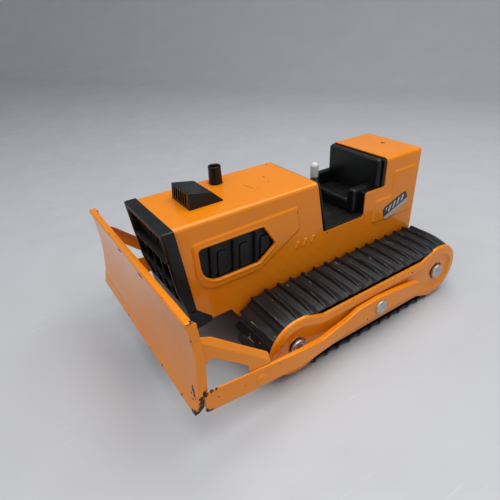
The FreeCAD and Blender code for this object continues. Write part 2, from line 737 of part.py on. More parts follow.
def pivot_washers():
    """Spacer washers between the push arms and the track frames."""
    washers = []
    near = dim("frame_face") + 0.3
    far = dim("arm_rear_face") - dim("arm_steel")
    for side in (1, -1):
        ends = sorted((side * near, side * far))
        disc = rod("washer_outside", ends[0], ends[1], arm_pivot(), 6.5)
        hole = rod("washer_hole", ends[0], ends[1], arm_pivot(), "Dims.shaft_radius")
        washers.append(cut("pivot_washer", disc, hole))
    return group("pivot_washers", washers)


# ---------------------------------------------------------------- hand lever and its crank


def crank_geometry():
    """Rest angle of the lever pin seen from the shaft, and its distance there."""
    reach_y = dim("lever_y") + dim("lever_reach") - dim("pivot_y")
    reach_z = dim("lever_level") - dim("pivot_level")
    return math.degrees(math.atan2(reach_z, reach_y)), math.hypot(reach_y, reach_z)


def lift_crank():
    """Crank on the cross shaft; the lever's pin works in its slot."""
    angle, distance = crank_geometry()
    body = new_body("lift_crank")
    sketch = new_sketch(body, "YZ_Plane", -1.0)
    add_outline(sketch, [(-7.0, -7.0, 6.9), (-7.0, 7.0, 6.9), (distance + 7.0, 4.8, 4.0),
                         (distance + 7.0, -4.8, 4.0)])
    pad(body, sketch, 2.0)
    holes = new_sketch(body, "YZ_Plane", 2.0)
    add_circle(holes, (0.0, 0.0), "Dims.shaft_radius")
    half = dim("pin_radius") + 0.3
    add_outline(holes, [(distance - 2.3, -half), (distance + 4.2, -half), (distance + 4.2, half),
                        (distance - 2.3, half)])
    pocket(body, holes, 5.0)
    body.Placement = Placement(Vector(dim("crank_x"), *arm_pivot()), Rotation(Vector(1, 0, 0), angle))
    return body


def lever_geometry():
    return dim("lever_y"), dim("lever_level")


def lift_lever():
    """Flat grey lever: hub on its pin, a short rear arm, and the long handle up into the cab."""
    y, z = lever_geometry()
    reach = dim("lever_reach")
    outline = [(y - 6.0, z - 6.0, 5.0), (y + 6.0, z - 6.0, 3.0), (y + reach + 4.5, z - 4.5, 4.0),
               (y + reach + 4.5, z + 4.5, 4.0), (y + 10.0, z + 5.0, 3.0), (y + 4.5, z + 12.0, 4.0),
               (y + 4.5, 121.0), (y + 2.6, 121.0), (y + 2.6, 131.0, 1.0), (y - 2.6, 131.0, 1.0),
               (y - 2.6, 121.0), (y - 4.5, 121.0), (y - 4.5, z + 12.0), (y - 6.0, z + 6.0, 4.0)]
    start = dim("lever_x") - dim("lever_steel") / 2
    body = side_body("lift_lever", outline, start, "Dims.lever_steel")
    holes = new_sketch(body, "YZ_Plane", 0.0)
    add_circle(holes, (y, z), 2.05)
    add_circle(holes, (y + reach, z), "Dims.pin_radius")
    pocket(body, holes, 40.0)
    return body


def lever_knob():
    """White plastic grip, round above and socketed on the lever's narrow tang."""
    base = Vector(dim("lever_x"), dim("lever_y"), 121.0)
    stem = doc.addObject("Part::Cylinder", "knob_stem")
    stem.Radius = 4.4
    stem.Height = 11.0
    ball = doc.addObject("Part::Sphere", "knob_top")
    ball.Radius = 4.4
    stem.Placement = Placement(base, Rotation())
    ball.Placement = Placement(base + Vector(0, 0, 11.0), Rotation())
    half = dim("lever_steel") / 2
    socket = box("knob_socket", (base.x - half, base.y - 2.6, base.z), (base.x + half, base.y + 2.6, 131.0))
    return cut("lever_knob", fuse("knob_solid", [stem, ball]), socket)


def lever_pin():
    """Pivot pin of the lever, riveted into its bracket."""
    side = dim("lever_x") - dim("lever_steel") / 2
    shank = rod("pin_shank", side - 1.9, side + 3.6, lever_geometry(), 2.0)
    head = rod("pin_head", side - 2.9, side - 1.9, lever_geometry(), 3.4)
    return fuse("lever_pin", [shank, head])


def lever_bracket():
    """Angle piece on the chassis that holds the lever's pin."""
    right = dim("lever_x") - dim("lever_steel") / 2 - 0.5
    y, z = lever_geometry()
    low = dim("body_bottom") + 2.2
    foot = box("bracket_foot", (-33.0, y - 9.0, low), (right, y + 9.0, low + 1.4))
    ear = box("bracket_ear", (right - 1.4, y - 6.5, low), (right, y + 6.5, z + 6.5))
    hole = rod("bracket_hole", right - 5.0, right + 5.0, (y, z), 2.0)
    return cut("lever_bracket", fuse("bracket_solid", [foot, ear]), hole)


def crank_pin():
    """Drive pin of the lever that works in the crank's slot."""
    y, z = lever_geometry()
    start = dim("lever_x") - dim("lever_steel") / 2
    solid = rod("crank_pin", start, dim("crank_x") + 1.8, (y + dim("lever_reach"), z), "Dims.pin_radius")
    solid.Label = "crank_pin"
    return solid


# ---------------------------------------------------------------- assembly


def build_all():
    fill_sheet()
    left_belt, left_frame, left_arm = track_belt(), track_frame(), push_arm()
    left_bracket, left_sticker = end_bracket(), side_sticker()
    pieces = [
        body_shell(), grille(), air_intake(), exhaust_stack(), engine_block(), seat_insert(),
        chassis_plate(), chassis_rivets(), left_sticker, mirrored("side_sticker_right", left_sticker),
        axle("front_axle", front_axle()), axle("rear_axle", rear_axle()), axle_caps(), axle_spacers(),
        left_belt, mirrored("track_belt_right", left_belt),
        left_frame, mirrored("track_frame_right", left_frame),
        blade(), blade_stiffener(), left_arm, mirrored("push_arm_right", left_arm),
        left_bracket, mirrored("end_bracket_right", left_bracket), arm_rivets(), cross_shaft(),
        pivot_heads(), pivot_washers(), lift_crank(), lift_lever(), lever_knob(), lever_pin(),
        lever_bracket(), crank_pin(),
    ]
    for place, axle_y in (("front", "Dims.front_axle_y"), ("rear", "Dims.rear_axle_y")):
        left_wheel = wheel(place + "_wheel_left", axle_y)
        pieces += [left_wheel, mirrored(place + "_wheel_right", left_wheel)]
    return pieces


def export(pieces):
    doc.recompute()
    for item in doc.Objects:
        if "Invalid" in item.State or "Error" in item.State:
            raise RuntimeError(item.Name + " failed: " + str(item.State))
    os.makedirs("parts", exist_ok=True)
    for piece in pieces:
        shape = piece.Shape
        if shape.isNull() or not shape.isValid() or not shape.Solids:
            raise RuntimeError(piece.Label + " has no valid solid")
        shape.exportStep(os.path.join("parts", piece.Label + ".step"))


export(build_all())
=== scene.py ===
import math

import bmesh
import bpy
from bpy.props import FloatProperty, FloatVectorProperty, IntProperty, PointerProperty
from mathutils import Matrix, Vector


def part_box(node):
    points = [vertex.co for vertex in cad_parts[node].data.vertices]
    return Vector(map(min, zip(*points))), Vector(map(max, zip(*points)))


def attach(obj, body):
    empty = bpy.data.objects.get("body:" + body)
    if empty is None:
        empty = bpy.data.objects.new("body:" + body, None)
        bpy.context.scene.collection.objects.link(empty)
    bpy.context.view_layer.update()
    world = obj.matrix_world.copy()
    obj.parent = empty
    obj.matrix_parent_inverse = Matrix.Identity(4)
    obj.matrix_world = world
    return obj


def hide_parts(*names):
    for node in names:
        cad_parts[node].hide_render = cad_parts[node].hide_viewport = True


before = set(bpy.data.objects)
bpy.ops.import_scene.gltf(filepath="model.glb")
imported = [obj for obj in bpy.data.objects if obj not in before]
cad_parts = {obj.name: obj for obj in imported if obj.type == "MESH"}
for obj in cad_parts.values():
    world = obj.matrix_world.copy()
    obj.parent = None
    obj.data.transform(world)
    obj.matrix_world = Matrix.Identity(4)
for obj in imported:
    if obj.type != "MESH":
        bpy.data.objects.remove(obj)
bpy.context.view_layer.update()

bl_info = {
    "name": "Toy Bulldozer Builder",
    "version": (1, 0, 0),
    "blender": (4, 5, 0),
    "location": "View3D > Sidebar > Bulldozer",
    "description": "Builds the finished surfaces of a pressed-steel toy bulldozer over its frame",
    "category": "Object",
}

MM = 0.001


def node_box(node):
    """Lowest and highest corner of a frame node, in millimetres."""
    low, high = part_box(node)
    return Vector(low) / MM, Vector(high) / MM


# ---------------------------------------------------------------- places taken from the frame

COVER_LOW, COVER_HIGH = node_box("body_shell")
GRILLE_HIGH = node_box("grille")[1]
INTAKE_LOW, INTAKE_HIGH = node_box("air_intake")
STACK_LOW, STACK_HIGH = node_box("exhaust_stack")
ENGINE_LOW, ENGINE_HIGH = node_box("engine_block")
CAB_LOW, CAB_HIGH = node_box("seat_insert")
BELT_LOW, BELT_HIGH = node_box("track_belt_left")
FRAME_LOW, FRAME_HIGH = node_box("track_frame_left")
BLADE_LOW, BLADE_HIGH = node_box("blade")
HEADS_LOW, HEADS_HIGH = node_box("pivot_heads")
FRONT_LOW, FRONT_HIGH = node_box("front_wheel_left")
REAR_LOW, REAR_HIGH = node_box("rear_wheel_left")
LEVER_LOW, LEVER_HIGH = node_box("lift_lever")
KNOB_LOW, KNOB_HIGH = node_box("lever_knob")
RIVET_LOW, RIVET_HIGH = node_box("arm_rivets")

PANEL_RISE = 1.3
HALF_WIDTH = COVER_HIGH.x - PANEL_RISE
HOOD_FRONT = COVER_LOW.y
HOOD_TOP = STACK_LOW.z
TANK_TOP = COVER_HIGH.z
TANK_REAR = COVER_HIGH.y
COVER_BOTTOM = COVER_LOW.z
HOOD_REAR = 6.2
NOTCH_FRONT, NOTCH_REAR, NOTCH_FLOOR = 15.2, 68.0, 94.0
STEP_LEVEL, TANK_FRONT = 118.0, 94.4
NOSE_SEAM, NOSE_BOTTOM, FRONT_BOTTOM = -120.6, 70.0, 54.3
AXLE_LEVEL = (FRONT_LOW.z + FRONT_HIGH.z) / 2
FRONT_AXLE = (FRONT_LOW.y + FRONT_HIGH.y) / 2
REAR_AXLE = (REAR_LOW.y + REAR_HIGH.y) / 2
PIVOT_Y = (HEADS_LOW.y + HEADS_HIGH.y) / 2
PIVOT_LEVEL = (HEADS_LOW.z + HEADS_HIGH.z) / 2
CAP_HEIGHT, HEAD_HEIGHT = 2.6, 2.4
FRAME_FACE = node_box("axle_caps")[1].x - CAP_HEIGHT
ARM_FACE = node_box("push_arm_left")[1].x
ARM_REAR_FACE = HEADS_HIGH.x - HEAD_HEIGHT


# ---------------------------------------------------------------- mesh helpers, in millimetres


def rounded(corners, inset=0.0, steps=6):
    """Points of a closed outline of (u, v) or (u, v, radius) corners, moved inwards by inset.

    Every inset gives the same number of points, so rings of one outline match point by point.
    """
    points = [Vector(corner[:2]) for corner in corners]
    area = sum(points[i - 1].cross(points[i]) for i in range(len(points)))
    turn = 1.0 if area > 0 else -1.0
    outline = []
    for index, corner in enumerate(corners):
        here = points[index]
        into = (here - points[index - 1]).normalized()
        out = (points[(index + 1) % len(points)] - here).normalized()
        first = Vector((-into.y, into.x)) * turn
        second = Vector((-out.y, out.x)) * turn
        moved = here + (first + second) / (1.0 + first.dot(second)) * inset
        if len(corner) == 2:
            outline.append(moved)
            continue
        bulge = into.cross(out) * turn
        radius = max(corner[2] - inset if bulge > 0 else corner[2] + inset, 0.15)
        half_turn = math.acos(max(-1.0, min(1.0, into.dot(out)))) / 2
        start = moved - into * radius * math.tan(half_turn)
        side = first if bulge > 0 else -first
        centre = start + side * radius
        spin = 2 * half_turn * (turn if bulge > 0 else -turn)
        for step in range(steps + 1):
            outline.append(centre + Matrix.Rotation(spin * step / steps, 2) @ (start - centre))
    return outline


def in_side(points, x):
    """Points of a side view, given as (y, z), set at X."""
    return [Vector((x, p[0], p[1])) for p in points]


def ring(bm, points):
    """Closed ring of edges through the points; returns its vertices in order."""
    verts = [bm.verts.new(point) for point in points]
    for index, vert in enumerate(verts):
        bm.edges.new((verts[index - 1], vert))
    return verts


def chain(bm, points):
    """Open run of edges through the points; returns its vertices in order."""
    verts = [bm.verts.new(point) for point in points]
    for first, second in zip(verts, verts[1:]):
        bm.edges.new((first, second))
    return verts


def edges_of(bm, verts, closed=True):
    """Edges from each vertex to the next, and from the last to the first where closed."""
    following = verts[1:] + verts[:1] if closed else verts[1:]
    return [bm.edges.get((first, second)) for first, second in zip(verts, following)]


def grow(bm, verts, points, closed=True):
    """Extrude a ring or run of edges and set its new vertices down at the points."""
    made = bmesh.ops.extrude_edge_only(bm, edges=edges_of(bm, verts, closed))["geom"]
    fresh = {item for item in made if isinstance(item, bmesh.types.BMVert)}
    moved = []
    for old, point in zip(verts, points):
        new = next(edge.other_vert(old) for edge in old.link_edges if edge.other_vert(old) in fresh)
        new.co = point
        moved.append(new)
    return moved


def cap(bm, *rings):
    """Fill the flat area inside the first ring and outside the others."""
    edges = [edge for verts in rings for edge in edges_of(bm, verts)]
    bmesh.ops.triangle_fill(bm, edges=edges, use_beauty=True, use_dissolve=False)


def score(bm, place, normal):
    """Cut every face along the plane through place, so that the piece can bend there."""
    everything = list(bm.verts) + list(bm.edges) + list(bm.faces)
    bmesh.ops.bisect_plane(bm, geom=everything, plane_co=place, plane_no=normal)


def soften(bm, width, segments, angle=30.0, wanted=None):
    """Bevel every edge sharper than the angle, or those that the wanted test picks."""
    limit = math.radians(angle)
    edges = []
    for edge in bm.edges:
        if len(edge.link_faces) == 2 and edge.calc_face_angle(0.0) > limit:
            if wanted is None or wanted(edge):
                edges.append(edge)
    bmesh.ops.bevel(bm, geom=edges, offset=width, offset_type="OFFSET", segments=segments,
                    profile=0.5, affect="EDGES", clamp_overlap=True, material=-1)


def prism(points, shift, bevel=0.0, segments=2):
    """Solid between a flat outline and the same outline moved by shift, its edges softened by bevel."""
    bm = bmesh.new()
    low = ring(bm, points)
    bm.faces.new(low)
    high = grow(bm, low, [point + Vector(shift) for point in points])
    bm.faces.new(high)
    bmesh.ops.recalc_face_normals(bm, faces=bm.faces)
    if bevel:
        soften(bm, bevel, segments)
    return bm


def side_prism(corners, x_low, x_high, bevel, segments):
    """Prism across the toy whose side view has these corners."""
    return prism(in_side(rounded(corners), x_low), (x_high - x_low, 0, 0), bevel, segments)


def block(low, high, bevel, segments):
    """Box between two corners with softened edges."""
    bm = bmesh.new()
    size = Vector(high) - Vector(low)
    place = Matrix.Translation((Vector(low) + Vector(high)) / 2) @ Matrix.Diagonal((*size, 1.0))
    bmesh.ops.create_cube(bm, size=1.0, matrix=place)
    soften(bm, bevel, segments)
    return bm


def lathe(profile, centre, axis="Z", side=1.0, steps=48):
    """Turned piece: (radius, distance along the axis) points spun round the axis through centre."""
    bm = bmesh.new()
    along = Vector((0, 0, 1)) if axis == "Z" else Vector((side, 0, 0))
    across = Vector((0, 1, 0))
    centre = Vector(centre)
    verts = chain(bm, [centre + across * radius + along * reach for radius, reach in profile])
    geometry = verts + edges_of(bm, verts, closed=False)
    bmesh.ops.spin(bm, geom=geometry, cent=centre, axis=along, dvec=(0, 0, 0),
                   angle=2 * math.pi, steps=steps, use_merge=True, use_duplicate=False)
    bmesh.ops.remove_doubles(bm, verts=bm.verts, dist=0.001)
    bmesh.ops.recalc_face_normals(bm, faces=bm.faces)
    return bm


def joined(parts):
    """One bmesh that holds all the parts as separate closed shells."""
    whole = bmesh.new()
    for part in parts:
        mesh = bpy.data.meshes.new("part")
        part.to_mesh(mesh)
        part.free()
        whole.from_mesh(mesh)
        bpy.data.meshes.remove(mesh)
    return whole


def flipped(bm):
    """The piece's mirror image on the other side of the toy."""
    bmesh.ops.transform(bm, matrix=Matrix.Diagonal((-1, 1, 1, 1)), verts=bm.verts)
    bmesh.ops.reverse_faces(bm, faces=bm.faces)
    return bm


def finish_piece(bm, name, body, nodes, material, wall=0.0, rim=0.0, sharp=35.0):
    """Turn a bmesh in millimetres into a finished piece that stands for frame nodes."""
    bmesh.ops.scale(bm, vec=(MM, MM, MM), verts=bm.verts)
    limit = math.radians(sharp)
    for edge in bm.edges:
        edge.smooth = len(edge.link_faces) == 2 and edge.calc_face_angle(0.0) < limit
    for face in bm.faces:
        face.smooth = True
    mesh = bpy.data.meshes.new(name)
    bm.to_mesh(mesh)
    bm.free()
    piece = bpy.data.objects.new(name, mesh)
    bpy.context.scene.collection.objects.link(piece)
    mesh.materials.append(material)
    if wall:
        thicken = piece.modifiers.new("wall", "SOLIDIFY")
        thicken.thickness = wall * MM
        thicken.offset = -1.0
        thicken.use_even_offset = True
    if rim:
        ease = piece.modifiers.new("rim", "BEVEL")
        ease.width = rim * MM
        ease.segments = 2
        ease.limit_method = "ANGLE"
        ease.angle_limit = math.radians(50)
    weigh = piece.modifiers.new("normals", "WEIGHTED_NORMAL")
    weigh.keep_sharp = True
    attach(piece, body)
    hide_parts(*nodes)
    return piece


# ---------------------------------------------------------------- material helpers


class Paint:
    """A Principled material with short calls for the nodes that feed it."""

    def __init__(self, name):
        self.material = bpy.data.materials.new(name)
        self.material.use_nodes = True
        self.tree = self.material.node_tree
        self.shader = self.tree.nodes["Principled BSDF"]
        self.place = self.tree.nodes.new("ShaderNodeTexCoord").outputs["Object"]

    def link(self, source, target):
        """Join a socket to the target, or set the target to a plain value."""
        if isinstance(source, bpy.types.NodeSocket):
            self.tree.links.new(source, target)
        else:
            target.default_value = source

    def noise(self, scale, detail=3.0, rough=0.5, stretch=(1, 1, 1)):
        """Noise of that many features a metre over the piece's own coordinates."""
        mapping = self.tree.nodes.new("ShaderNodeMapping")
        mapping.inputs["Scale"].default_value = stretch
        self.tree.links.new(self.place, mapping.inputs["Vector"])
        node = self.tree.nodes.new("ShaderNodeTexNoise")
        node.inputs["Scale"].default_value = scale
        node.inputs["Detail"].default_value = detail
        node.inputs["Roughness"].default_value = rough
        self.tree.links.new(mapping.outputs[0], node.inputs["Vector"])
        return node.outputs["Fac"]

    def ramp(self, value, low, high, start=0.0, end=1.0):
        """value between low and high becomes start to end, held outside."""
        node = self.tree.nodes.new("ShaderNodeMapRange")
        node.interpolation_type = "SMOOTHSTEP"
        for name, number in (("From Min", low), ("From Max", high), ("To Min", start), ("To Max", end)):
            node.inputs[name].default_value = number
        self.link(value, node.inputs["Value"])
        return node.outputs["Result"]

    def math(self, operation, first, second=0.0):
        node = self.tree.nodes.new("ShaderNodeMath")
        node.operation = operation
        self.link(first, node.inputs[0])
        self.link(second, node.inputs[1])
        return node.outputs[0]

    def mix(self, amount, first, second):
        node = self.tree.nodes.new("ShaderNodeMix")
        node.data_type = "RGBA"
        self.link(amount, node.inputs["Factor"])
        for value, socket in ((first, node.inputs[6]), (second, node.inputs[7])):
            self.link(value if isinstance(value, bpy.types.NodeSocket) else (*value[:3], 1.0), socket)
        return node.outputs[2]

    def axis(self, letter):
        """Place along one axis of the piece's own coordinates."""
        node = self.tree.nodes.new("ShaderNodeSeparateXYZ")
        self.tree.links.new(self.place, node.inputs[0])
        return node.outputs[letter]

    def facing(self, letter):
        """How far the surface faces along an axis."""
        geometry = self.tree.nodes.new("ShaderNodeNewGeometry")
        node = self.tree.nodes.new("ShaderNodeSeparateXYZ")
        self.tree.links.new(geometry.outputs["Normal"], node.inputs[0])
        return node.outputs[letter]

    def attribute(self, name):
        """Value that the mesh stores at each vertex."""
        node = self.tree.nodes.new("ShaderNodeAttribute")
        node.attribute_name = name
        return node.outputs["Fac"]

    def spots(self, places):
        """Ragged marks: 1 inside a wobbly radius round each (x, y, z, radius), in millimetres."""
        wobble = self.noise(1400.0, 3.0, 0.6)
        mask = None
        for x, y, z, radius in places:
            distance = self.tree.nodes.new("ShaderNodeVectorMath")
            distance.operation = "DISTANCE"
            self.tree.links.new(self.place, distance.inputs[0])
            distance.inputs[1].default_value = (x * MM, y * MM, z * MM)
            reach = radius * MM
            stray = self.math("MULTIPLY", self.math("SUBTRACT", wobble, 0.5), reach * 2.4)
            ragged = self.math("ADD", distance.outputs["Value"], stray)
            spot = self.ramp(ragged, reach * 0.92, reach, 1.0, 0.0)
            mask = spot if mask is None else self.math("MAXIMUM", mask, spot)
        return mask

    def bump(self, height, distance, strength=1.0, below=None):
        node = self.tree.nodes.new("ShaderNodeBump")
        node.inputs["Strength"].default_value = strength
        node.inputs["Distance"].default_value = distance * MM
        self.link(height, node.inputs["Height"])
        if below is not None:
            self.tree.links.new(below, node.inputs["Normal"])
        return node.outputs["Normal"]

    def finish(self, colour, roughness, normal=None, **constants):
        self.link(colour if isinstance(colour, bpy.types.NodeSocket) else (*colour[:3], 1.0),
                  self.shader.inputs["Base Color"])
        self.link(roughness, self.shader.inputs["Roughness"])
        if normal is not None:
            self.tree.links.new(normal, self.shader.inputs["Normal"])
        for name, value in constants.items():
            target = self.shader.inputs[name.replace("_", " ")]
            self.link(value, target)
        return self.material


def enamel(name, colour, chips, scratch=None):
    """Glossy stove enamel over steel: orange peel, dust, dark chips with a steel heart, and painted
    shade where a spot is set on a hole.
    """
    paint = Paint(name)
    shade = paint.ramp(paint.noise(14.0, 4.0), 0.3, 0.7, 0.0, 1.0)
    deep = [channel * 0.93 for channel in colour]
    coat = paint.mix(shade, deep, colour)
    dust = paint.ramp(paint.noise(160.0, 5.0, 0.65), 0.60, 0.85, 0.0, 0.05)
    coat = paint.mix(dust, coat, (0.62, 0.50, 0.38))
    specks = paint.ramp(paint.noise(520.0, 1.0, 0.4), 0.80, 0.815, 0.0, 0.75)
    coat = paint.mix(specks, coat, (0.035, 0.02, 0.012))
    # Spots are chips; the cover's first spot, on the tank's hole, is painted shade of the hole.
    chip_and_hole_shade = paint.spots(chips)
    heart = paint.ramp(paint.noise(900.0, 2.0), 0.52, 0.6, 0.0, 1.0)
    bare_steel_and_shade = paint.mix(heart, (0.022, 0.014, 0.010), (0.10, 0.055, 0.03))
    coat = paint.mix(chip_and_hole_shade, coat, bare_steel_and_shade)
    if scratch is not None:
        coat = paint.mix(scratch_mask(paint, *scratch), coat, (0.16, 0.07, 0.02))
    gloss = paint.ramp(paint.noise(60.0, 4.0, 0.6), 0.3, 0.75, 0.13, 0.22)
    gloss = paint.math("MAXIMUM", gloss, paint.math("MULTIPLY", chip_and_hole_shade, 0.65))
    peel = paint.bump(paint.noise(420.0, 2.0, 0.45), 0.03, 0.45)
    edge = paint.bump(paint.math("SUBTRACT", 1.0, chip_and_hole_shade), 0.10, 0.8, peel)
    return paint.finish(coat, gloss, edge, Coat_Weight=0.25, Coat_Roughness=0.06,
                        Specular_IOR_Level=0.4)


def scratch_mask(paint, start, end, width):
    """Thin broken line on the hood top between two (x, y) places."""
    across = Vector((end[1] - start[1], start[0] - end[0])).normalized()
    along = Vector((end[0] - start[0], end[1] - start[1]))
    length = along.length
    along.normalize()
    wobble = paint.math("MULTIPLY", paint.math("SUBTRACT", paint.noise(70.0, 2.0), 0.5), 0.8 * MM)

    def measured(direction):
        """Distance from the scratch's start along a direction in the hood's plane."""
        from_x = paint.math("SUBTRACT", paint.axis("X"), start[0] * MM)
        from_y = paint.math("SUBTRACT", paint.axis("Y"), start[1] * MM)
        return paint.math("ADD", paint.math("MULTIPLY", from_x, direction.x),
                          paint.math("MULTIPLY", from_y, direction.y))

    offset = paint.math("ABSOLUTE", paint.math("ADD", measured(across), wobble))
    line = paint.ramp(offset, width * MM * 0.4, width * MM, 1.0, 0.0)
    near_start = paint.ramp(measured(along), 0.0, 1.0 * MM, 0.0, 1.0)
    near_end = paint.ramp(measured(along), (length - 1.0) * MM, length * MM, 1.0, 0.0)
    on_top = paint.ramp(paint.facing("Z"), 0.6, 0.9, 0.0, 1.0)
    broken = paint.ramp(paint.noise(420.0, 2.0), 0.42, 0.5, 0.0, 0.8)
    mask = paint.math("MULTIPLY", paint.math("MULTIPLY", line, near_start), near_end)
    return paint.math("MULTIPLY", paint.math("MULTIPLY", mask, on_top), broken)


def moulded(name, colour, gloss=0.36, dust=0.35, grain=0.02):
    """Black moulded plastic: fine grain, soft rub marks, and a pale film on what faces up, part dust and
    part painted highlight.
    """
    paint = Paint(name)
    body = paint.mix(paint.ramp(paint.noise(35.0, 4.0), 0.3, 0.7), [c * 0.75 for c in colour], colour)
    # Upward faces get a pale noisy film: part dust, part painted highlight of the tops that face the
    # overhead light.
    up = paint.ramp(paint.facing("Z"), 0.2, 0.95, 0.15, 1.0)
    dust_and_sheen_film = paint.ramp(paint.noise(110.0, 6.0, 0.7), 0.42, 0.78, 0.0, dust)
    body = paint.mix(paint.math("MULTIPLY", up, dust_and_sheen_film), body, (0.11, 0.105, 0.095))
    streak = paint.ramp(paint.noise(90.0, 4.0, 0.6, (1.0, 1.0, 7.0)), 0.60, 0.75, 0.0, 0.06)
    body = paint.mix(streak, body, (0.16, 0.16, 0.165))
    rough = paint.ramp(paint.noise(80.0, 5.0, 0.6), 0.25, 0.75, gloss - 0.07, gloss + 0.12)
    fine = paint.bump(paint.noise(1500.0, 3.0, 0.6), grain, 0.6)
    return paint.finish(body, rough, fine)


def tread_vinyl(name, colour):
    """Soft black vinyl: scuffed pale on the grouser ridges, dusty in the valleys."""
    paint = Paint(name)
    ridge = paint.attribute("ridge")
    body = paint.mix(paint.ramp(paint.noise(45.0, 5.0), 0.3, 0.7), [c * 0.7 for c in colour], colour)
    worn = paint.ramp(paint.noise(170.0, 6.0, 0.7, (0.5, 1.0, 1.0)), 0.5, 0.72, 0.0, 0.8)
    crest = paint.ramp(ridge, 0.72, 1.0, 0.0, 1.0)
    body = paint.mix(paint.math("MULTIPLY", crest, worn), body, (0.17, 0.155, 0.135))
    darkening = paint.ramp(paint.noise(260.0, 6.0, 0.7), 0.6, 0.82, 0.0, 0.16)
    body = paint.mix(darkening, body, (0.12, 0.10, 0.08))
    flecks = paint.ramp(paint.noise(420.0, 2.0, 0.5, (0.22, 1.0, 1.0)), 0.70, 0.74, 0.0, 0.6)
    body = paint.mix(flecks, body, (0.36, 0.30, 0.22))
    rough = paint.ramp(paint.noise(120.0, 5.0, 0.6), 0.25, 0.75, 0.30, 0.52)
    skin = paint.bump(paint.noise(380.0, 5.0, 0.6), 0.08, 0.5)
    return paint.finish(body, rough, skin)


def plated(name, colour, rough=0.32):
    """Zinc-plated steel with cloudy tarnish and fine turning lines."""
    paint = Paint(name)
    cloud = paint.ramp(paint.noise(220.0, 5.0, 0.65), 0.35, 0.7)
    body = paint.mix(cloud, [c * 0.72 for c in colour], colour)
    rust = paint.ramp(paint.noise(480.0, 5.0, 0.7), 0.66, 0.78, 0.0, 0.5)
    body = paint.mix(rust, body, (0.16, 0.09, 0.045))
    dull = paint.ramp(paint.noise(300.0, 4.0, 0.6), 0.3, 0.75, rough - 0.08, rough + 0.22)
    pits = paint.bump(paint.noise(1800.0, 4.0, 0.7), 0.05, 0.5)
    return paint.finish(body, dull, pits, Metallic=0.9)


def grip_white(name, colour):
    """Aged white plastic, greyer towards its foot."""
    paint = Paint(name)
    # The knob turns greyer towards its foot, and in noisy patches.
    foot = paint.ramp(paint.axis("Z"), KNOB_LOW.z * MM, (KNOB_LOW.z + 9.0) * MM, 0.5, 0.0)
    darkening = paint.math("MAXIMUM", foot, paint.ramp(paint.noise(380.0, 5.0, 0.7), 0.58, 0.75, 0.0, 0.4))
    body = paint.mix(darkening, colour, (0.36, 0.33, 0.28))
    rough = paint.ramp(paint.noise(260.0, 4.0), 0.3, 0.7, 0.30, 0.48)
    return paint.finish(body, rough, paint.bump(paint.noise(900.0, 3.0), 0.04, 0.5),
                        Subsurface_Weight=0.08, Subsurface_Scale=0.002)


def satin_paint(name, colour, rough=0.45):
    """Plain sprayed paint on steel with rubbed patches."""
    paint = Paint(name)
    rub = paint.ramp(paint.noise(240.0, 6.0, 0.7), 0.55, 0.75, 0.0, 0.45)
    body = paint.mix(rub, colour, [min(1.0, c * 1.9 + 0.03) for c in colour])
    dull = paint.ramp(paint.noise(150.0, 4.0), 0.3, 0.7, rough - 0.1, rough + 0.12)
    return paint.finish(body, dull, paint.bump(paint.noise(800.0, 3.0), 0.05, 0.5))


def decal_print(name, field, band):
    """Printed vinyl label: a field with a pale edge line and slanted bands, no lettering."""
    paint = Paint(name)
    centre = Vector((0.0, 113.0, 93.0)) * MM
    tilt = math.radians(20)
    shift_y = paint.math("SUBTRACT", paint.axis("Y"), centre.y)
    shift_z = paint.math("SUBTRACT", paint.axis("Z"), centre.z)
    along = paint.math("ADD", paint.math("MULTIPLY", shift_y, math.cos(tilt)),
                       paint.math("MULTIPLY", shift_z, math.sin(tilt)))
    upward = paint.math("SUBTRACT", paint.math("MULTIPLY", shift_z, math.cos(tilt)),
                        paint.math("MULTIPLY", shift_y, math.sin(tilt)))
    lower = paint.ramp(upward, -2.6 * MM, -2.3 * MM, 1.0, 0.0)
    body = paint.mix(lower, field, band)
    slant = paint.math("ADD", along, paint.math("MULTIPLY", upward, -0.7))
    wave = paint.math("PINGPONG", slant, 3.2 * MM)
    upper = paint.math("SUBTRACT", 1.0, lower)
    inside = paint.ramp(paint.math("ABSOLUTE", paint.math("SUBTRACT", upward, 2.4 * MM)),
                        2.9 * MM, 3.1 * MM, 1.0, 0.0)
    ends = paint.ramp(paint.math("ABSOLUTE", along), 13.4 * MM, 13.7 * MM, 1.0, 0.0)
    stripe = paint.ramp(wave, 1.5 * MM, 1.7 * MM, 0.0, 1.0)
    mark = paint.math("MULTIPLY", paint.math("MULTIPLY", stripe, inside),
                      paint.math("MULTIPLY", ends, upper))
    body = paint.mix(paint.math("MULTIPLY", mark, 0.75), body, (0.74, 0.60, 0.52))
    wear = paint.ramp(paint.noise(500.0, 6.0, 0.75), 0.62, 0.72, 0.0, 0.5)
    body = paint.mix(wear, body, (0.62, 0.40, 0.22))
    return paint.finish(body, paint.ramp(paint.noise(200.0, 3.0), 0.3, 0.7, 0.28, 0.42),
                        paint.bump(paint.noise(700.0, 3.0), 0.03, 0.5))


# ---------------------------------------------------------------- cover: hood, cab sides and tank


def relief(bm, corners, steps, place):
    """Rings of one outline at (inset, height) steps, each joined to the last; gives both ends."""
    first_inset, first_height = steps[0]
    first = ring(bm, place(rounded(corners, first_inset), first_height))
    last = first
    for inset, height in steps[1:]:
        last = grow(bm, last, place(rounded(corners, inset), height))
    return first, last


WINDOW = [(-112.5, 122.8, 3.0), (-52.5, 122.5, 2.0), (-40.5, 103.0, 2.5), (-57.5, 90.6, 4.0),
          (-111.0, 90.6, 16.0)]
WINDOW_PANEL = [(-118.4, 129.6, 4.0), (-15.5, 131.2, 4.0), (-12.5, 107.0, 5.0), (-57.0, 81.6, 8.0),
                (-117.4, 81.6, 20.0)]
TANK_PANEL = [(104.5, 132.2, 4.0), (140.5, 132.2, 4.0), (140.5, 80.0, 4.0), (80.0, 80.0, 4.0),
              (82.0, 106.8, 4.0), (104.5, 106.8, 3.0)]


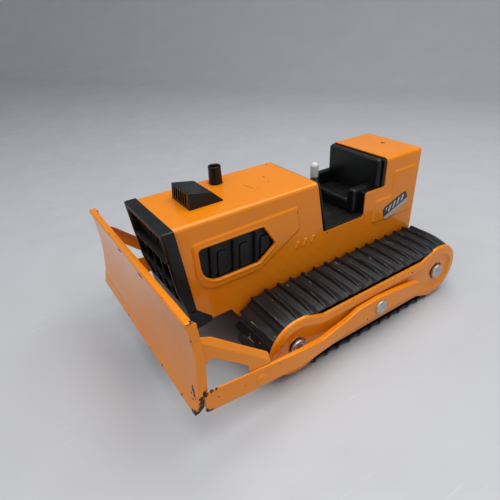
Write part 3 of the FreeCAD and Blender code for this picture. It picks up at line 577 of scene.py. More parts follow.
def badge_bars():
    """Outlines of the three slanted bars pressed into each side."""
    return [[(y - 3.4, 88.0, 1.4), (y + 1.0, 88.0, 1.4), (y + 3.6, 96.0, 1.4), (y - 0.8, 96.0, 1.4)]
            for y in (-16.0, -7.0, 2.0)]


def emboss(rise, run):
    """Steps of a soft pressed ramp that climbs by rise over a run."""
    shape = ((0.0, 0.0), (0.22, 0.08), (0.42, 0.33), (0.6, 0.67), (0.8, 0.92), (1.0, 1.0))
    return [(run * across, rise * up) for across, up in shape]


def window_lip(rise):
    """Steps of the rolled lip that stands round the window, from the panel to the turned-in edge."""
    return [(-2.9, rise), (-2.5, rise + 0.10), (-1.9, rise + 0.36), (-1.3, rise + 0.46),
            (-0.75, rise + 0.38), (-0.35, rise + 0.10), (-0.1, rise - 0.30), (0.0, rise - 0.9),
            (0.0, rise - 2.4)]


def side_reliefs(bm, outer, side, rise):
    """Fill one side wall of the cover round its pressed panels, bars and window."""
    def place(points, height):
        return in_side(points, side * (HALF_WIDTH + height))

    panel_low, panel_top = relief(bm, WINDOW_PANEL, emboss(rise, 2.8), place)
    lip = relief(bm, WINDOW, window_lip(rise), place)[0]
    tank_low, tank_top = relief(bm, TANK_PANEL, emboss(rise, 2.6), place)
    lows, tops = [panel_low, tank_low], [tank_top]
    for bar in badge_bars():
        low, top = relief(bm, bar, emboss(rise * 0.8, 1.5), place)
        lows.append(low)
        tops.append(top)
    cap(bm, outer, *lows)
    cap(bm, panel_top, lip)
    for top in tops:
        cap(bm, top)


SMALLEST_WALL = 900.0
TANK_HOLE = Vector((0.2, 128.7, 0.0))


def cover_mesh(radius, rise):
    """Closed block of the cover's side view, edges rounded, then opened and pressed."""
    corners = [(HOOD_FRONT, HOOD_TOP), (HOOD_REAR, HOOD_TOP), (NOTCH_FRONT, NOTCH_FLOOR, 2.5),
               (NOTCH_REAR, NOTCH_FLOOR, 3.0), (NOTCH_REAR, STEP_LEVEL, 4.0),
               (TANK_FRONT, STEP_LEVEL, 2.0), (TANK_FRONT, TANK_TOP), (TANK_REAR, TANK_TOP),
               (TANK_REAR, COVER_BOTTOM), (-67.6, COVER_BOTTOM), (-88.1, FRONT_BOTTOM),
               (-106.8, FRONT_BOTTOM), (NOSE_SEAM, NOSE_BOTTOM)]
    bm = prism(in_side(rounded(corners), -HALF_WIDTH), (2 * HALF_WIDTH, 0, 0))
    near = 0.1

    def outer_edge(edge):
        """Whether an edge runs along the hood, the tank or the rear, where the sheet turns round."""
        ends = [vert.co for vert in edge.verts]
        over_hood = all(end.z > HOOD_TOP - near and end.y < HOOD_REAR + near for end in ends)
        over_tank = all(end.z > TANK_TOP - near and end.y > TANK_FRONT - near for end in ends)
        down_rear = all(end.y > TANK_REAR - near for end in ends)
        crosswise = abs(ends[0].x - ends[1].x) > 1.0
        at_rear_top = crosswise and down_rear and all(end.z > STEP_LEVEL for end in ends)
        return at_rear_top or (not crosswise and (over_hood or over_tank or down_rear))

    soften(bm, radius, 6, 30.0, outer_edge)
    bm.normal_update()
    gone = []
    for face in bm.faces:
        centre = face.calc_center_median()
        on_hood = centre.z > HOOD_TOP - radius and centre.y < HOOD_REAR - 0.5
        on_tank = centre.y > TANK_FRONT + 0.5 and centre.z > TANK_TOP - radius
        at_rear = centre.y > TANK_REAR - radius
        flat_side = abs(face.normal.x) > 0.99 and face.calc_area() > SMALLEST_WALL
        if not (on_hood or on_tank or at_rear or flat_side):
            gone.append(face)
    bmesh.ops.delete(bm, geom=gone, context="FACES")
    for side in (-1, 1):
        wall = max(bm.faces, key=lambda face: face.normal.x * side * face.calc_area())
        outer = list(wall.verts)
        bmesh.ops.delete(bm, geom=[wall], context="FACES_ONLY")
        side_reliefs(bm, outer, side, rise)
    pierce_tank_top(bm)
    bmesh.ops.recalc_face_normals(bm, faces=bm.faces)
    return bm


def pierce_tank_top(bm):
    """Small round hole with a rolled-in edge in the middle of the tank's top."""
    top = max((face for face in bm.faces if face.calc_center_median().y > TANK_FRONT),
              key=lambda face: face.normal.z * face.calc_area())
    outer = list(top.verts)
    bmesh.ops.delete(bm, geom=[top], context="FACES_ONLY")
    place = Matrix.Translation(TANK_HOLE + Vector((0, 0, TANK_TOP)))
    # The hole's rim and walls are darkened by the cover's first paint spot: painted shade.
    hole = bmesh.ops.create_circle(bm, segments=24, radius=2.6, cap_ends=False, matrix=place)["verts"]
    cap(bm, outer, hole)
    for radius, depth in ((2.4, 0.15), (2.3, 1.2)):
        points = []
        for vert in hole:
            away = Vector((vert.co.x, vert.co.y, 0.0)) - TANK_HOLE
            points.append(TANK_HOLE + away.normalized() * radius + Vector((0, 0, TANK_TOP - depth)))
        hole = grow(bm, hole, points)


# ---------------------------------------------------------------- nose, intake and stack

NOSE_LINE = ((145.0, -139.5), (118.5, -136.6), (92.0, -133.5), (69.5, -128.0), (50.5, -122.6))


def nose_front(z):
    """Y of the nose's front surface at a height."""
    for (high, y_high), (low, y_low) in zip(NOSE_LINE, NOSE_LINE[1:]):
        if z >= low:
            return y_low + (y_high - y_low) * (z - low) / (high - low)
    return NOSE_LINE[-1][1]


def nose_back(z):
    """Y of the seam between nose and cover at a height."""
    return HOOD_FRONT + (NOSE_SEAM - HOOD_FRONT) * (HOOD_TOP - z) / (HOOD_TOP - NOSE_BOTTOM)


def nose_frame():
    """Raised frame round the nose opening, lofted from its outline, with a floor behind."""
    bm = bmesh.new()
    half = GRILLE_HIGH.x
    corners = [(-half, HOOD_TOP, 1.6), (half, HOOD_TOP, 1.6), (half, 118.5), (half, 92.0), (half, 69.5),
               (-half, 69.5), (-half, 92.0), (-half, 118.5)]

    def place(points, depth):
        return [Vector((x, min(nose_front(z) + depth, nose_back(z)), z)) for x, z in points]

    steps = [(0.0, 60.0), (0.0, 2.2), (0.25, 0.9), (0.9, 0.2), (1.7, 0.0), (4.3, 0.0), (4.9, 0.2),
             (5.3, 0.8), (5.6, 2.0), (6.2, 5.6)]
    cap(bm, relief(bm, corners, steps, place)[1])
    bmesh.ops.recalc_face_normals(bm, faces=bm.faces)
    return bm


def nose_shelf(front_level, lift, reach):
    """Cross bar whose top slopes up and back from a thin front edge."""
    y = nose_front(front_level)
    corners = [(y + 3.4, front_level - 1.6), (y - 0.6, front_level - 1.1), (y - 1.0, front_level, 0.4),
               (y + reach, front_level + lift, 0.8), (y + reach + 3.0, front_level + lift)]
    return side_prism(corners, -33.2, 33.2, 0.25, 1)


def nose_divider(x, low, high, width=2.0, proud=0.6):
    """Upright bar that follows the nose's front, so far proud of it."""
    corners = [(nose_front(high) + proud, high), (nose_front(low) + proud, low),
               (nose_front(low) + 7.0, low), (nose_front(high) + 7.0, high)]
    return side_prism(corners, x - width / 2, x + width / 2, 0.3, 1)


def nose_parts():
    """Frame, chin, two shelves, and the uprights above, between and below them."""
    half = GRILLE_HIGH.x
    chin = side_prism([(nose_front(71.5), 71.5), (-126.9, 62.3, 1.5), (GRILLE_HIGH.y - 16.0, 50.5, 2.0),
                       (-108.1, 52.5, 1.5), (-107.2, 56.8, 1.0), (-120.2, 69.2), (-120.6, 71.5)],
                      -half, half, 0.9, 3)
    parts = [nose_frame(), chin, nose_shelf(118.5, 2.0, 4.6), nose_shelf(97.2, 2.0, 4.6)]
    for x in (-16.5, 0.0, 16.5):
        parts.append(nose_divider(x, 99.0, 117.0))
        parts.append(nose_divider(x, 73.0, 94.5))
    for x in range(-24, 25, 6):
        parts.append(nose_divider(x, 126.5, 135.5, 2.4, 3.6))
    return parts


def recess(bm, face, outlines, shift):
    """Sink closed outlines that lie in a flat face by shift, each with its own floor."""
    outer = list(face.verts)
    bmesh.ops.delete(bm, geom=[face], context="FACES_ONLY")
    rings = [ring(bm, points) for points in outlines]
    cap(bm, outer, *rings)
    for verts in rings:
        floor = grow(bm, verts, [vert.co + Vector(shift) for vert in verts])
        cap(bm, floor)


def intake_mesh():
    """Wedge-shaped air intake with a row of tall slots in its front."""
    front, crest = (INTAKE_LOW.y, HOOD_TOP - 0.4), (INTAKE_LOW.y + 1.0, INTAKE_HIGH.z)
    corners = [front, crest, (-84.5, 155.0), (INTAKE_HIGH.y, HOOD_TOP + 0.6),
               (INTAKE_HIGH.y, HOOD_TOP - 0.4)]
    bm = prism(in_side([Vector(corner) for corner in corners], INTAKE_LOW.x),
               (INTAKE_HIGH.x - INTAKE_LOW.x, 0, 0))
    middle = (INTAKE_LOW.x + INTAKE_HIGH.x) / 2
    for vert in bm.verts:
        if vert.co.z > 150:
            vert.co.x = middle + (vert.co.x - middle) * 0.955
    soften(bm, 0.7, 3, 12.0)
    bm.normal_update()
    face = max(bm.faces, key=lambda item: -item.normal.y * item.calc_area())
    lean = (crest[0] - front[0]) / (crest[1] - front[1])
    slots = []
    for number in range(6):
        x = INTAKE_LOW.x + 4.4 + number * 4.0
        ends = rounded([(x, 147.4, 0.4), (x + 2.4, 147.4, 0.4), (x + 2.4, 156.6, 0.4), (x, 156.6, 0.4)])
        slots.append([Vector((p[0], front[0] + (p[1] - front[1]) * lean, p[1])) for p in ends])
    recess(bm, face, slots, (0, 2.4, 0))
    bmesh.ops.recalc_face_normals(bm, faces=bm.faces)
    return bm


def stack_mesh():
    """Tapered exhaust stack with a rolled rim and a deep bore."""
    height = STACK_HIGH.z - STACK_LOW.z
    centre = ((STACK_LOW.x + STACK_HIGH.x) / 2, (STACK_LOW.y + STACK_HIGH.y) / 2, STACK_LOW.z)
    profile = [(6.2, -0.3), (6.2, 0.5), (6.0, 0.9), (5.55, height - 2.4), (5.65, height - 2.0),
               (5.75, height - 1.2), (5.6, height - 0.4), (5.2, height), (4.6, height),
               (4.1, height - 0.4), (3.8, height - 1.2), (3.5, height - 8.0), (0.0, height - 8.0)]
    return lathe(profile, centre, steps=56)


# ---------------------------------------------------------------- engine and cab mouldings


def engine_parts():
    """Moulded engine side seen through each window: tall ribs, plates between, and a ledge."""
    low_y, high_y = ENGINE_LOW.y, ENGINE_HIGH.y
    parts = [block((-31.0, low_y, 126.0), (31.0, high_y, ENGINE_HIGH.z), 0.4, 1)]
    for side in (1, -1):
        group = [block((31.0, low_y, ENGINE_LOW.z), (33.0, high_y, ENGINE_HIGH.z), 0.4, 1)]
        for y in (-101.0, -80.0, -59.0):
            group.append(side_prism([(y - 3.2, 88.0), (y + 3.2, 88.0), (y + 2.0, 93.0), (y + 0.9, 122.0),
                                     (y - 0.9, 122.0), (y - 2.0, 93.0)], 33.0, 35.4, 0.7, 2))
            group.append(side_prism([(y - 1.1, 88.0), (y + 1.1, 88.0), (y + 0.3, 119.0),
                                     (y - 0.3, 119.0)], 34.0, 36.0, 0.3, 2))
        for y in (-90.5, -69.5, -49.0):
            group.append(side_prism([(y - 5.4, 88.0, 0.8), (y + 5.4, 88.0, 0.8), (y + 4.4, 112.5, 2.6),
                                     (y - 4.4, 112.5, 2.6)], 33.0, 34.4, 0.6, 3))
        group.append(block((33.0, low_y + 3.0, 88.2), (35.8, high_y - 1.0, 90.9), 0.5, 2))
        for part in group:
            parts.append(part if side == 1 else flipped(part))
    return parts


def cab_parts():
    """Seat, armrests, floor and dash, each a softened block, in one black moulding."""
    half = CAB_HIGH.x
    floor_top = 95.0
    boxes = [
        ((-half, 16.5, 93.0), (-25.2, 69.0, floor_top), 0.3, 1),
        ((-19.8, 16.5, 93.0), (half, 69.0, floor_top), 0.3, 1),
        ((-25.4, 16.5, 93.0), (-19.6, 27.0, floor_top), 0.3, 1),
        ((-25.4, 60.6, 93.0), (-19.6, 69.0, floor_top), 0.3, 1),
        ((29.5, 17.5, 94.6), (half, 68.6, 96.2), 0.5, 2),
        ((-28.0, 61.0, 94.0), (18.4, 88.0, 108.0), 3.0, 5),
        ((18.0, 61.5, 94.0), (27.6, 88.0, 119.5), 2.8, 5),
        ((27.0, 69.5, 94.0), (half, CAB_HIGH.y, 117.0), 1.2, 3),
        ((-half, 70.0, 94.0), (-27.6, CAB_HIGH.y, 117.0), 1.2, 3),
        ((-34.9, 60.0, 94.0), (-27.6, 88.0, 120.5), 2.4, 5),
        ((-half, 90.6, 116.0), (half, CAB_HIGH.y, 145.0), 0.7, 2),
        ((-34.0, 85.0, 104.0), (34.0, 92.2, 146.0), 3.2, 5),
    ]
    parts = [block(low, high, bevel, segments) for low, high, bevel, segments in boxes]
    parts.append(side_prism([(CAB_LOW.y, 143.4, 0.6), (9.4, 143.6, 0.6), (20.2, 93.4), (18.0, 93.2)],
                            -half, half, 0.3, 1))
    return parts


# ---------------------------------------------------------------- tracks and side frames

GROUSERS = 39
BELT_BASE = 28.7
TOOTH = ((0.0, 1.1), (0.025, 1.9), (0.06, 3.3), (0.085, 3.95), (0.11, 4.1), (0.14, 3.95), (0.22, 3.2),
         (0.38, 1.5), (0.50, 0.45), (0.56, 0.15), (0.62, 0.25), (0.70, 0.55), (0.735, 0.85), (0.77, 0.6),
         (0.90, 0.9))
TOOTH_TOP = max(height for start, height in TOOTH)
VALLEY = 28.1
FADE_FROM = 0.45


def belt_point(distance, radius):
    """Y and Z on the belt's run at a distance from the top front, radius out from the axle line."""
    straight = REAR_AXLE - FRONT_AXLE
    bend = math.pi * BELT_BASE
    if distance < straight:
        return FRONT_AXLE + distance, radius
    if distance < straight + bend:
        angle = math.pi / 2 - (distance - straight) / BELT_BASE
        return REAR_AXLE + radius * math.cos(angle), radius * math.sin(angle)
    if distance < 2 * straight + bend:
        return REAR_AXLE - (distance - straight - bend), -radius
    angle = -math.pi / 2 - (distance - 2 * straight - bend) / BELT_BASE
    return FRONT_AXLE + radius * math.cos(angle), radius * math.sin(angle)


def belt_mesh(side):
    """Flat grid wrapped round both drums; its heights make the grousers, lower at their outer ends."""
    straight, bend = REAR_AXLE - FRONT_AXLE, math.pi * BELT_BASE
    pitch = 2 * (straight + bend) / GROUSERS
    across = 18
    around = GROUSERS * len(TOOTH)
    beside, ease = 12.0, 25.0
    grounded_from = straight + bend - beside
    grounded_to = 2 * straight + bend + beside
    bm = bmesh.new()
    bmesh.ops.create_grid(bm, x_segments=around, y_segments=across, size=1.0)
    ridge = bm.verts.layers.float.new("ridge")
    for vert in bm.verts:
        column = round((vert.co.x + 1.0) / 2.0 * around) % around
        share = (vert.co.y + 1.0) / 2.0
        number, sample = divmod(column, len(TOOTH))
        start, height = TOOTH[sample]
        distance = (number + start) * pitch
        under = max(0.0, min(1.0, (distance - grounded_from) / ease, (grounded_to - distance) / ease))
        fade = max(0.0, (share - FADE_FROM) / (1.0 - FADE_FROM)) ** 2
        keep = 1.0 - fade * (0.72 - 0.55 * under)
        shoulder = 1.1 * fade * (1.0 - under) + (0.35 if share in (0.0, 1.0) else 0.0)
        y, z = belt_point(distance, VALLEY + height * keep - shoulder)
        x = BELT_LOW.x + share * (BELT_HIGH.x - BELT_LOW.x)
        vert.co = Vector((side * x, y, AXLE_LEVEL + z))
        vert[ridge] = height / TOOTH_TOP
    bmesh.ops.remove_doubles(bm, verts=bm.verts, dist=0.01)
    bmesh.ops.recalc_face_normals(bm, faces=bm.faces)
    lowest = min(bm.faces, key=lambda face: face.calc_center_median().z)
    if lowest.normal.z > 0:
        bmesh.ops.reverse_faces(bm, faces=bm.faces)
    return bm


SHELF_ENDS = (-29.0, 99.5)
SHELF_FOLD, LOBE_FOLD = 8.4, 2.6
FRAME_RECESS = 1.75
FRAME_STEEL = 1.2


def frame_outline():
    """Side view of a track frame: a round lobe over each hub, a straight shelf between."""
    lobe, flat = 28.8, 7.4
    bend = lobe - 0.15
    top, low = AXLE_LEVEL + lobe, AXLE_LEVEL - lobe
    shelf, bottom = FRAME_HIGH.z - 7.4, FRAME_LOW.z + 7.6
    front, rear = FRONT_AXLE - lobe, REAR_AXLE + lobe
    first, last = SHELF_ENDS
    return [(front, top, bend), (FRONT_AXLE + flat, top, 7.0), (first, shelf, 3.0), (last, shelf, 3.0),
            (REAR_AXLE - flat, top, 7.0), (rear, top, bend), (rear, low, bend),
            (REAR_AXLE - flat, low, 7.0), (last, bottom, 3.0), (first, bottom, 3.0),
            (FRONT_AXLE + flat, low, 7.0), (front, low, bend)]


def frame_mesh(side):
    """Pressed side plate: rounded shoulder, a low ridge, and a sunk flat with a hole at each hub."""
    bm = bmesh.new()

    def place(points, height):
        return in_side(points, side * (FRAME_FACE + height))

    def folded(points):
        """The first ring: deep along the shelves, which are folded in, and shallow round the lobes."""
        first, last = SHELF_ENDS
        depths = [SHELF_FOLD if first + 2.0 < y < last - 1.5 else LOBE_FOLD for y, z in points]
        return [Vector((side * (FRAME_FACE - depth), y, z)) for depth, (y, z) in zip(depths, points)]

    shoulder = [(0.0, -2.5), (0.15, -1.7), (0.6, -0.85), (1.4, -0.25), (2.6, 0.0), (5.6, 0.06)]
    ramp = [(6.6, 0.3), (7.6, 0.42), (8.5, 0.25), (9.3, -0.25), (10.1, -0.95), (10.9, -1.5),
            (11.8, -FRAME_RECESS)]
    inner = ring(bm, folded(rounded(frame_outline(), 0.0, 12)))
    for inset, height in shoulder + ramp:
        inner = grow(bm, inner, place(rounded(frame_outline(), inset, 12), height))
    hubs = []
    for y in (FRONT_AXLE, REAR_AXLE):
        face = FRAME_FACE - FRAME_RECESS
        turn = Matrix.Translation((side * face, y, AXLE_LEVEL)) @ Matrix.Rotation(math.pi / 2, 4, "Y")
        hub = bmesh.ops.create_circle(bm, segments=48, radius=11.0, cap_ends=False, matrix=turn)["verts"]
        hubs.append(hub)
        centre = Vector((0, y, AXLE_LEVEL))
        for radius, depth in ((9.6, 0.0), (9.0, 0.15), (8.7, 0.6), (8.6, 1.5), (2.6, 1.6)):
            points = []
            for vert in hub:
                away = (Vector((0, vert.co.y, vert.co.z)) - centre).normalized()
                points.append(centre + away * radius + Vector((side * (face - depth), 0, 0)))
            hub = grow(bm, hub, points)
    cap(bm, inner, *hubs)
    bmesh.ops.recalc_face_normals(bm, faces=bm.faces)
    widest = max(bm.faces, key=lambda face: face.calc_area())
    if widest.normal.x * side < 0:
        bmesh.ops.reverse_faces(bm, faces=bm.faces)
    return bm


# ---------------------------------------------------------------- turned caps and rivets


def cap_mesh(side, y):
    """Push-on axle cap with a pressed ring and a raised middle."""
    profile = [(7.6, -1.6), (7.8, 0.2), (7.7, 0.8), (7.2, 1.5), (6.4, 1.9), (5.6, 1.85), (5.0, 1.5),
               (4.4, 1.35), (3.7, 1.45), (3.0, 1.9), (2.2, 2.3), (1.2, 2.5),
               (0.0, CAP_HEIGHT)]
    return lathe(profile, (side * FRAME_FACE, y, AXLE_LEVEL), "X", side)


def pivot_head_mesh(side):
    """Domed zinc head of the cross shaft; struck_marks makes its three struck marks."""
    profile = [(7.3, 0.0), (7.3, 0.7), (7.0, 1.3), (6.2, 1.75), (5.0, 2.05), (3.6, 2.1), (3.2, 1.6),
               (2.4, 1.3), (1.4, 1.6), (0.0, 1.7)]
    return lathe(profile, (side * ARM_REAR_FACE, PIVOT_Y, PIVOT_LEVEL), "X", side)


def struck_marks(side):
    """Three short bars struck up on the shaft's head, a third of a turn apart."""
    parts = []
    for number in range(3):
        bar = block((side * (ARM_REAR_FACE + 1.7), -0.7, 3.6),
                    (side * (ARM_REAR_FACE + HEAD_HEIGHT), 0.7, 6.2), 0.25, 1)
        bmesh.ops.recalc_face_normals(bar, faces=bar.faces)
        turn = Matrix.Rotation(math.radians(20 + 120 * number), 4, "X")
        shift = Matrix.Translation((0, PIVOT_Y, PIVOT_LEVEL))
        bmesh.ops.transform(bar, matrix=shift @ turn, verts=bar.verts)
        parts.append(bar)
    return parts


def rivet_mesh(side):
    """Low domed rivet of the push arm, painted over."""
    y, z = (RIVET_LOW.y + RIVET_HIGH.y) / 2, (RIVET_LOW.z + RIVET_HIGH.z) / 2
    profile = [(5.2, -0.4), (5.2, 0.2), (5.0, 0.55), (4.3, 0.9), (3.2, 1.1), (1.6, 1.18), (0.0, 1.2)]
    return lathe(profile, (side * ARM_FACE, y, z), "X", side)


# ---------------------------------------------------------------- blade, arms and brackets

BLADE_ARC_CENTRE = (-331.55, 84.65)
BLADE_ARC_RADIUS = 178.41
BLADE_CREASE = 47.5
SLOT_LOW, SLOT_HIGH = 109.6, 111.9
SLOT_NEAR, SLOT_FAR = 19.0, 27.0
SLOT_DEPTH = 1.1


def blade_front(z):
    """Y of the blade's front surface at a height, with the shallow crease along its foot."""
    centre_y, centre_z = BLADE_ARC_CENTRE
    span = 14.0
    on_arc = centre_y + math.sqrt(BLADE_ARC_RADIUS ** 2 - (max(z, BLADE_CREASE) - centre_z) ** 2)
    ease = max(0.0, 1.0 - (max(z, BLADE_CREASE) - BLADE_CREASE) / span) ** 2 * 0.65
    if z >= BLADE_CREASE:
        return on_arc + ease
    share = (BLADE_CREASE - z) / (BLADE_CREASE - BLADE_LOW.z)
    return on_arc + ease + (BLADE_LOW.y - on_arc - ease) * share


def blade_rows():
    """Section of the blade plate from its foot up and back over the folded lip, as (y, z)."""
    top = BLADE_HIGH.z
    levels = [BLADE_LOW.z, 41.0, 44.5, 46.8, BLADE_CREASE, 48.2, 51.0, 55.0]
    levels += [60.0 + 4.0 * step for step in range(14)] + [115.0]
    rows = [(blade_front(z), z) for z in levels]
    lip = BLADE_LOW.y + 3.0
    rows += [(lip - 0.1, top - 2.4), (lip, top - 1.4), (lip + 0.35, top - 0.55),
             (lip + 1.0, top - 0.1), (lip + 1.8, top), (lip + 4.3, top), (lip + 5.2, top - 0.2)]
    return rows


def blade_mesh():
    """Grid bent to the blade's section, its ends eased round, its two slots cut and walled, the walls
    dark as painted shade.
    """
    rows = blade_rows()
    half = BLADE_HIGH.x
    easing = ((0.0, 0.9), (0.25, 0.38), (0.75, 0.08))
    inner = [(-half + 1.5) + (2 * half - 3.0) * step / 50 for step in range(51)]
    columns = [(-half + away, back) for away, back in easing] + [(x, 0.0) for x in inner]
    columns += [(half - away, back) for away, back in reversed(easing)]
    bm = bmesh.new()
    bmesh.ops.create_grid(bm, x_segments=len(columns) - 1, y_segments=len(rows) - 1, size=1.0)
    for vert in bm.verts:
        x, back = columns[round((vert.co.x + 1.0) / 2.0 * (len(columns) - 1))]
        y, z = rows[round((vert.co.y + 1.0) / 2.0 * (len(rows) - 1))]
        over = z > BLADE_HIGH.z - 0.2
        vert.co = Vector((x, y + (0.0 if over else back), z - (back * 0.5 if over else 0.0)))
    cuts = [((x, 0, 0), (1, 0, 0)) for x in (-SLOT_FAR, -SLOT_NEAR, SLOT_NEAR, SLOT_FAR)]
    cuts += [((0, 0, z), (0, 0, 1)) for z in (SLOT_LOW, SLOT_HIGH)]
    for place, normal in cuts:
        score(bm, place, normal)
    holes = []
    for face in bm.faces:
        centre = face.calc_center_median()
        if SLOT_LOW < centre.z < SLOT_HIGH and SLOT_NEAR < abs(centre.x) < SLOT_FAR:
            holes.append(face)
    bmesh.ops.delete(bm, geom=holes, context="FACES")
    rims = []
    for edge in bm.edges:
        centre = (edge.verts[0].co + edge.verts[1].co) / 2
        beside_slot = abs(centre.x) < SLOT_FAR + 1.0 and SLOT_LOW - 0.1 < centre.z < SLOT_HIGH + 0.1
        if edge.is_boundary and beside_slot:
            rims.append(edge)
    walls = bmesh.ops.extrude_edge_only(bm, edges=rims)["geom"]
    moved = [item for item in walls if isinstance(item, bmesh.types.BMVert)]
    bmesh.ops.translate(bm, vec=(0, SLOT_DEPTH, 0), verts=moved)
    # The slot walls take the near-black second material: painted shade inside the slots.
    for face in walls:
        if isinstance(face, bmesh.types.BMFace):
            face.material_index = 1
    bmesh.ops.recalc_face_normals(bm, faces=bm.faces)
    broad = max(bm.faces, key=lambda face: face.calc_area())
    if broad.normal.y > 0:
        bmesh.ops.reverse_faces(bm, faces=bm.faces)
    return bm


FLANGE_STEEL = 1.2


def blade_flange_mesh(side):
    """End flange folded back behind the blade plate."""
    corners = [(-159.0, 38.2), (-155.3, 53.0), (-153.4, 70.0), (-152.8, 85.0), (-153.4, 100.0),
               (-155.6, 116.6), (-148.6, 116.6, 1.5), (-147.2, 100.0), (-146.3, 78.0),
               (-147.4, 60.0, 3.0), (-151.3, 55.6, 2.0), (-151.3, 42.0, 3.0), (-156.2, 38.2, 1.0)]
    part = side_prism(corners, BLADE_HIGH.x - FLANGE_STEEL, BLADE_HIGH.x, 0.35, 2)
    return part if side == 1 else flipped(part)


ARM_OUTLINE = [(-151.0, 54.4, 2.0), (-113.0, 49.4, 30.0), (-66.0, 43.0, 30.0), (-38.0, 36.6, 20.0),
               (-8.0, 37.6, 20.0), (8.6, 43.4, 20.0), (34.0, 44.6, 40.0), (62.0, 42.0, 40.0),
               (92.0, 38.2, 3.5), (92.0, 23.0, 3.5), (37.0, 23.6), (-26.0, 22.6), (-55.0, 24.6, 30.0),
               (-76.0, 27.0, 30.0), (-114.0, 29.8), (-150.6, 34.0, 2.0)]
ARM_STEEL = 1.4


def arm_face(y):
    """X of the arm's outer face: wide at the blade, bent in alongside the track frame."""
    total = 0.0
    for step in range(-4, 5):
        share = max(0.0, min(1.0, (y + step + 64.0) / 54.0))
        total += ARM_FACE + (ARM_REAR_FACE - ARM_FACE) * share
    return total / 9


def flange_reach(y, z):
    """Depth to which the arm's edge is folded inwards at a place on its outline."""
    middle = 33.0 + 0.015 * (92.0 - y)
    if z < middle:
        return ARM_STEEL
    front = max(0.0, min(1.0, (y + 92.0) / 14.0))
    rear = max(0.0, min(1.0, (92.5 - y) / 4.0))
    deep = 4.0 if y < -50.0 else 5.0
    return ARM_STEEL + (deep - ARM_STEEL) * front * rear


def arm_mesh(side):
    """Flat pressed arm with a folded top edge, then bent towards the toy behind the blade."""
    bm = bmesh.new()

    def place(points, depth):
        return [Vector((-depth, y, z)) for y, z in points]

    def folded(inset, extra):
        outline = rounded(ARM_OUTLINE, 0.0, 6)
        points = rounded(ARM_OUTLINE, inset, 6)
        return [Vector((extra - flange_reach(*before), *after))
                for before, after in zip(outline, points)]

    steps = [(1.4, 0.0), (0.8, 0.06), (0.35, 0.28), (0.08, 0.7), (0.0, 1.1)]
    face, edge = relief(bm, ARM_OUTLINE, steps, place)
    edge = grow(bm, edge, folded(0.0, 0.3))
    edge = grow(bm, edge, folded(0.35, 0.0))
    edge = grow(bm, edge, folded(ARM_STEEL, 0.0))
    edge = grow(bm, edge, place(rounded(ARM_OUTLINE, ARM_STEEL, 6), ARM_STEEL))
    cap(bm, face)
    cap(bm, edge)
    bends = [start + 3.0 * step for start in (-70.0, -16.0) for step in range(5)]
    for y in bends:
        score(bm, (0, y, 0), (0, 1, 0))
    bmesh.ops.remove_doubles(bm, verts=bm.verts, dist=0.002)
    bmesh.ops.recalc_face_normals(bm, faces=bm.faces)
    for vert in bm.verts:
        vert.co.x += arm_face(vert.co.y)
    return bm if side == 1 else flipped(bm)


BRACE_STEEL = 1.2
BRACE_CREASE = 4.6
BRACE_FOLD = 0.62


def bracket_mesh(side):
    """Brace plate inside the arm, its sloping top edge folded in along a crease."""
    corners = [(-151.4, 42.0, 1.0), (-149.0, 102.0, 2.5), (-138.0, 95.5, 8.0), (-93.6, 55.8, 3.0),
               (-93.6, 32.0, 3.0), (-112.0, 33.0, 3.0), (-113.0, 56.2, 4.0), (-141.5, 82.0, 4.0),
               (-146.4, 76.0, 3.0), (-147.4, 42.0, 1.0)]
    face = ARM_FACE - ARM_STEEL - 0.2
    part = side_prism(corners, face - BRACE_STEEL, face, 0.38, 3)
    top, foot = Vector((0, -138.0, 95.5)), Vector((0, -93.6, 55.8))
    along = (foot - top).normalized()
    outward = Vector((0, -along.z, along.y))
    for setback in (BRACE_CREASE + 0.8, BRACE_CREASE, BRACE_CREASE - 0.8):
        score(part, top - outward * setback, outward)
    crease = top - outward * BRACE_CREASE
    for vert in part.verts:
        beyond = max(0.0, outward.dot(vert.co - crease))
        vert.co.x -= beyond * BRACE_FOLD
    return part if side == 1 else flipped(part)


# ---------------------------------------------------------------- hand lever


LEVER_PIN = (55.0, 46.0)


def lever_mesh():
    """Flat pressed lever with softened edges and its narrow tang, set out from its pin."""
    y, z = LEVER_PIN
    corners = [(y - 6.0, z - 6.0, 5.0), (y + 6.0, z - 6.0, 3.0), (y + 24.5, z - 4.5, 4.0),
               (y + 24.5, z + 4.5, 4.0), (y + 10.0, z + 5.0, 3.0), (y + 4.5, z + 12.0, 4.0),
               (y + 4.5, KNOB_LOW.z), (y - 4.5, KNOB_LOW.z), (y - 4.5, z + 12.0, 4.0),
               (y - 6.0, z + 6.0, 4.0)]
    return side_prism(corners, LEVER_LOW.x, LEVER_HIGH.x, 0.55, 3)


def knob_mesh():
    """Round-headed grip with a slight waist."""
    centre = ((KNOB_LOW.x + KNOB_HIGH.x) / 2, (KNOB_LOW.y + KNOB_HIGH.y) / 2, KNOB_LOW.z)
    radius = (KNOB_HIGH.x - KNOB_LOW.x) / 2
    height = KNOB_HIGH.z - KNOB_LOW.z
    profile = [(0.0, 0.0), (radius - 0.6, 0.0), (radius - 0.1, 0.5), (radius - 0.2, 4.0),
               (radius - 0.25, 8.0), (radius, 11.0)]
    for step in range(1, 8):
        angle = math.pi / 2 * step / 8
        profile.append((radius * math.cos(angle), height - radius + radius * math.sin(angle)))
    profile.append((0.0, height))
    return lathe(profile, centre, steps=40)
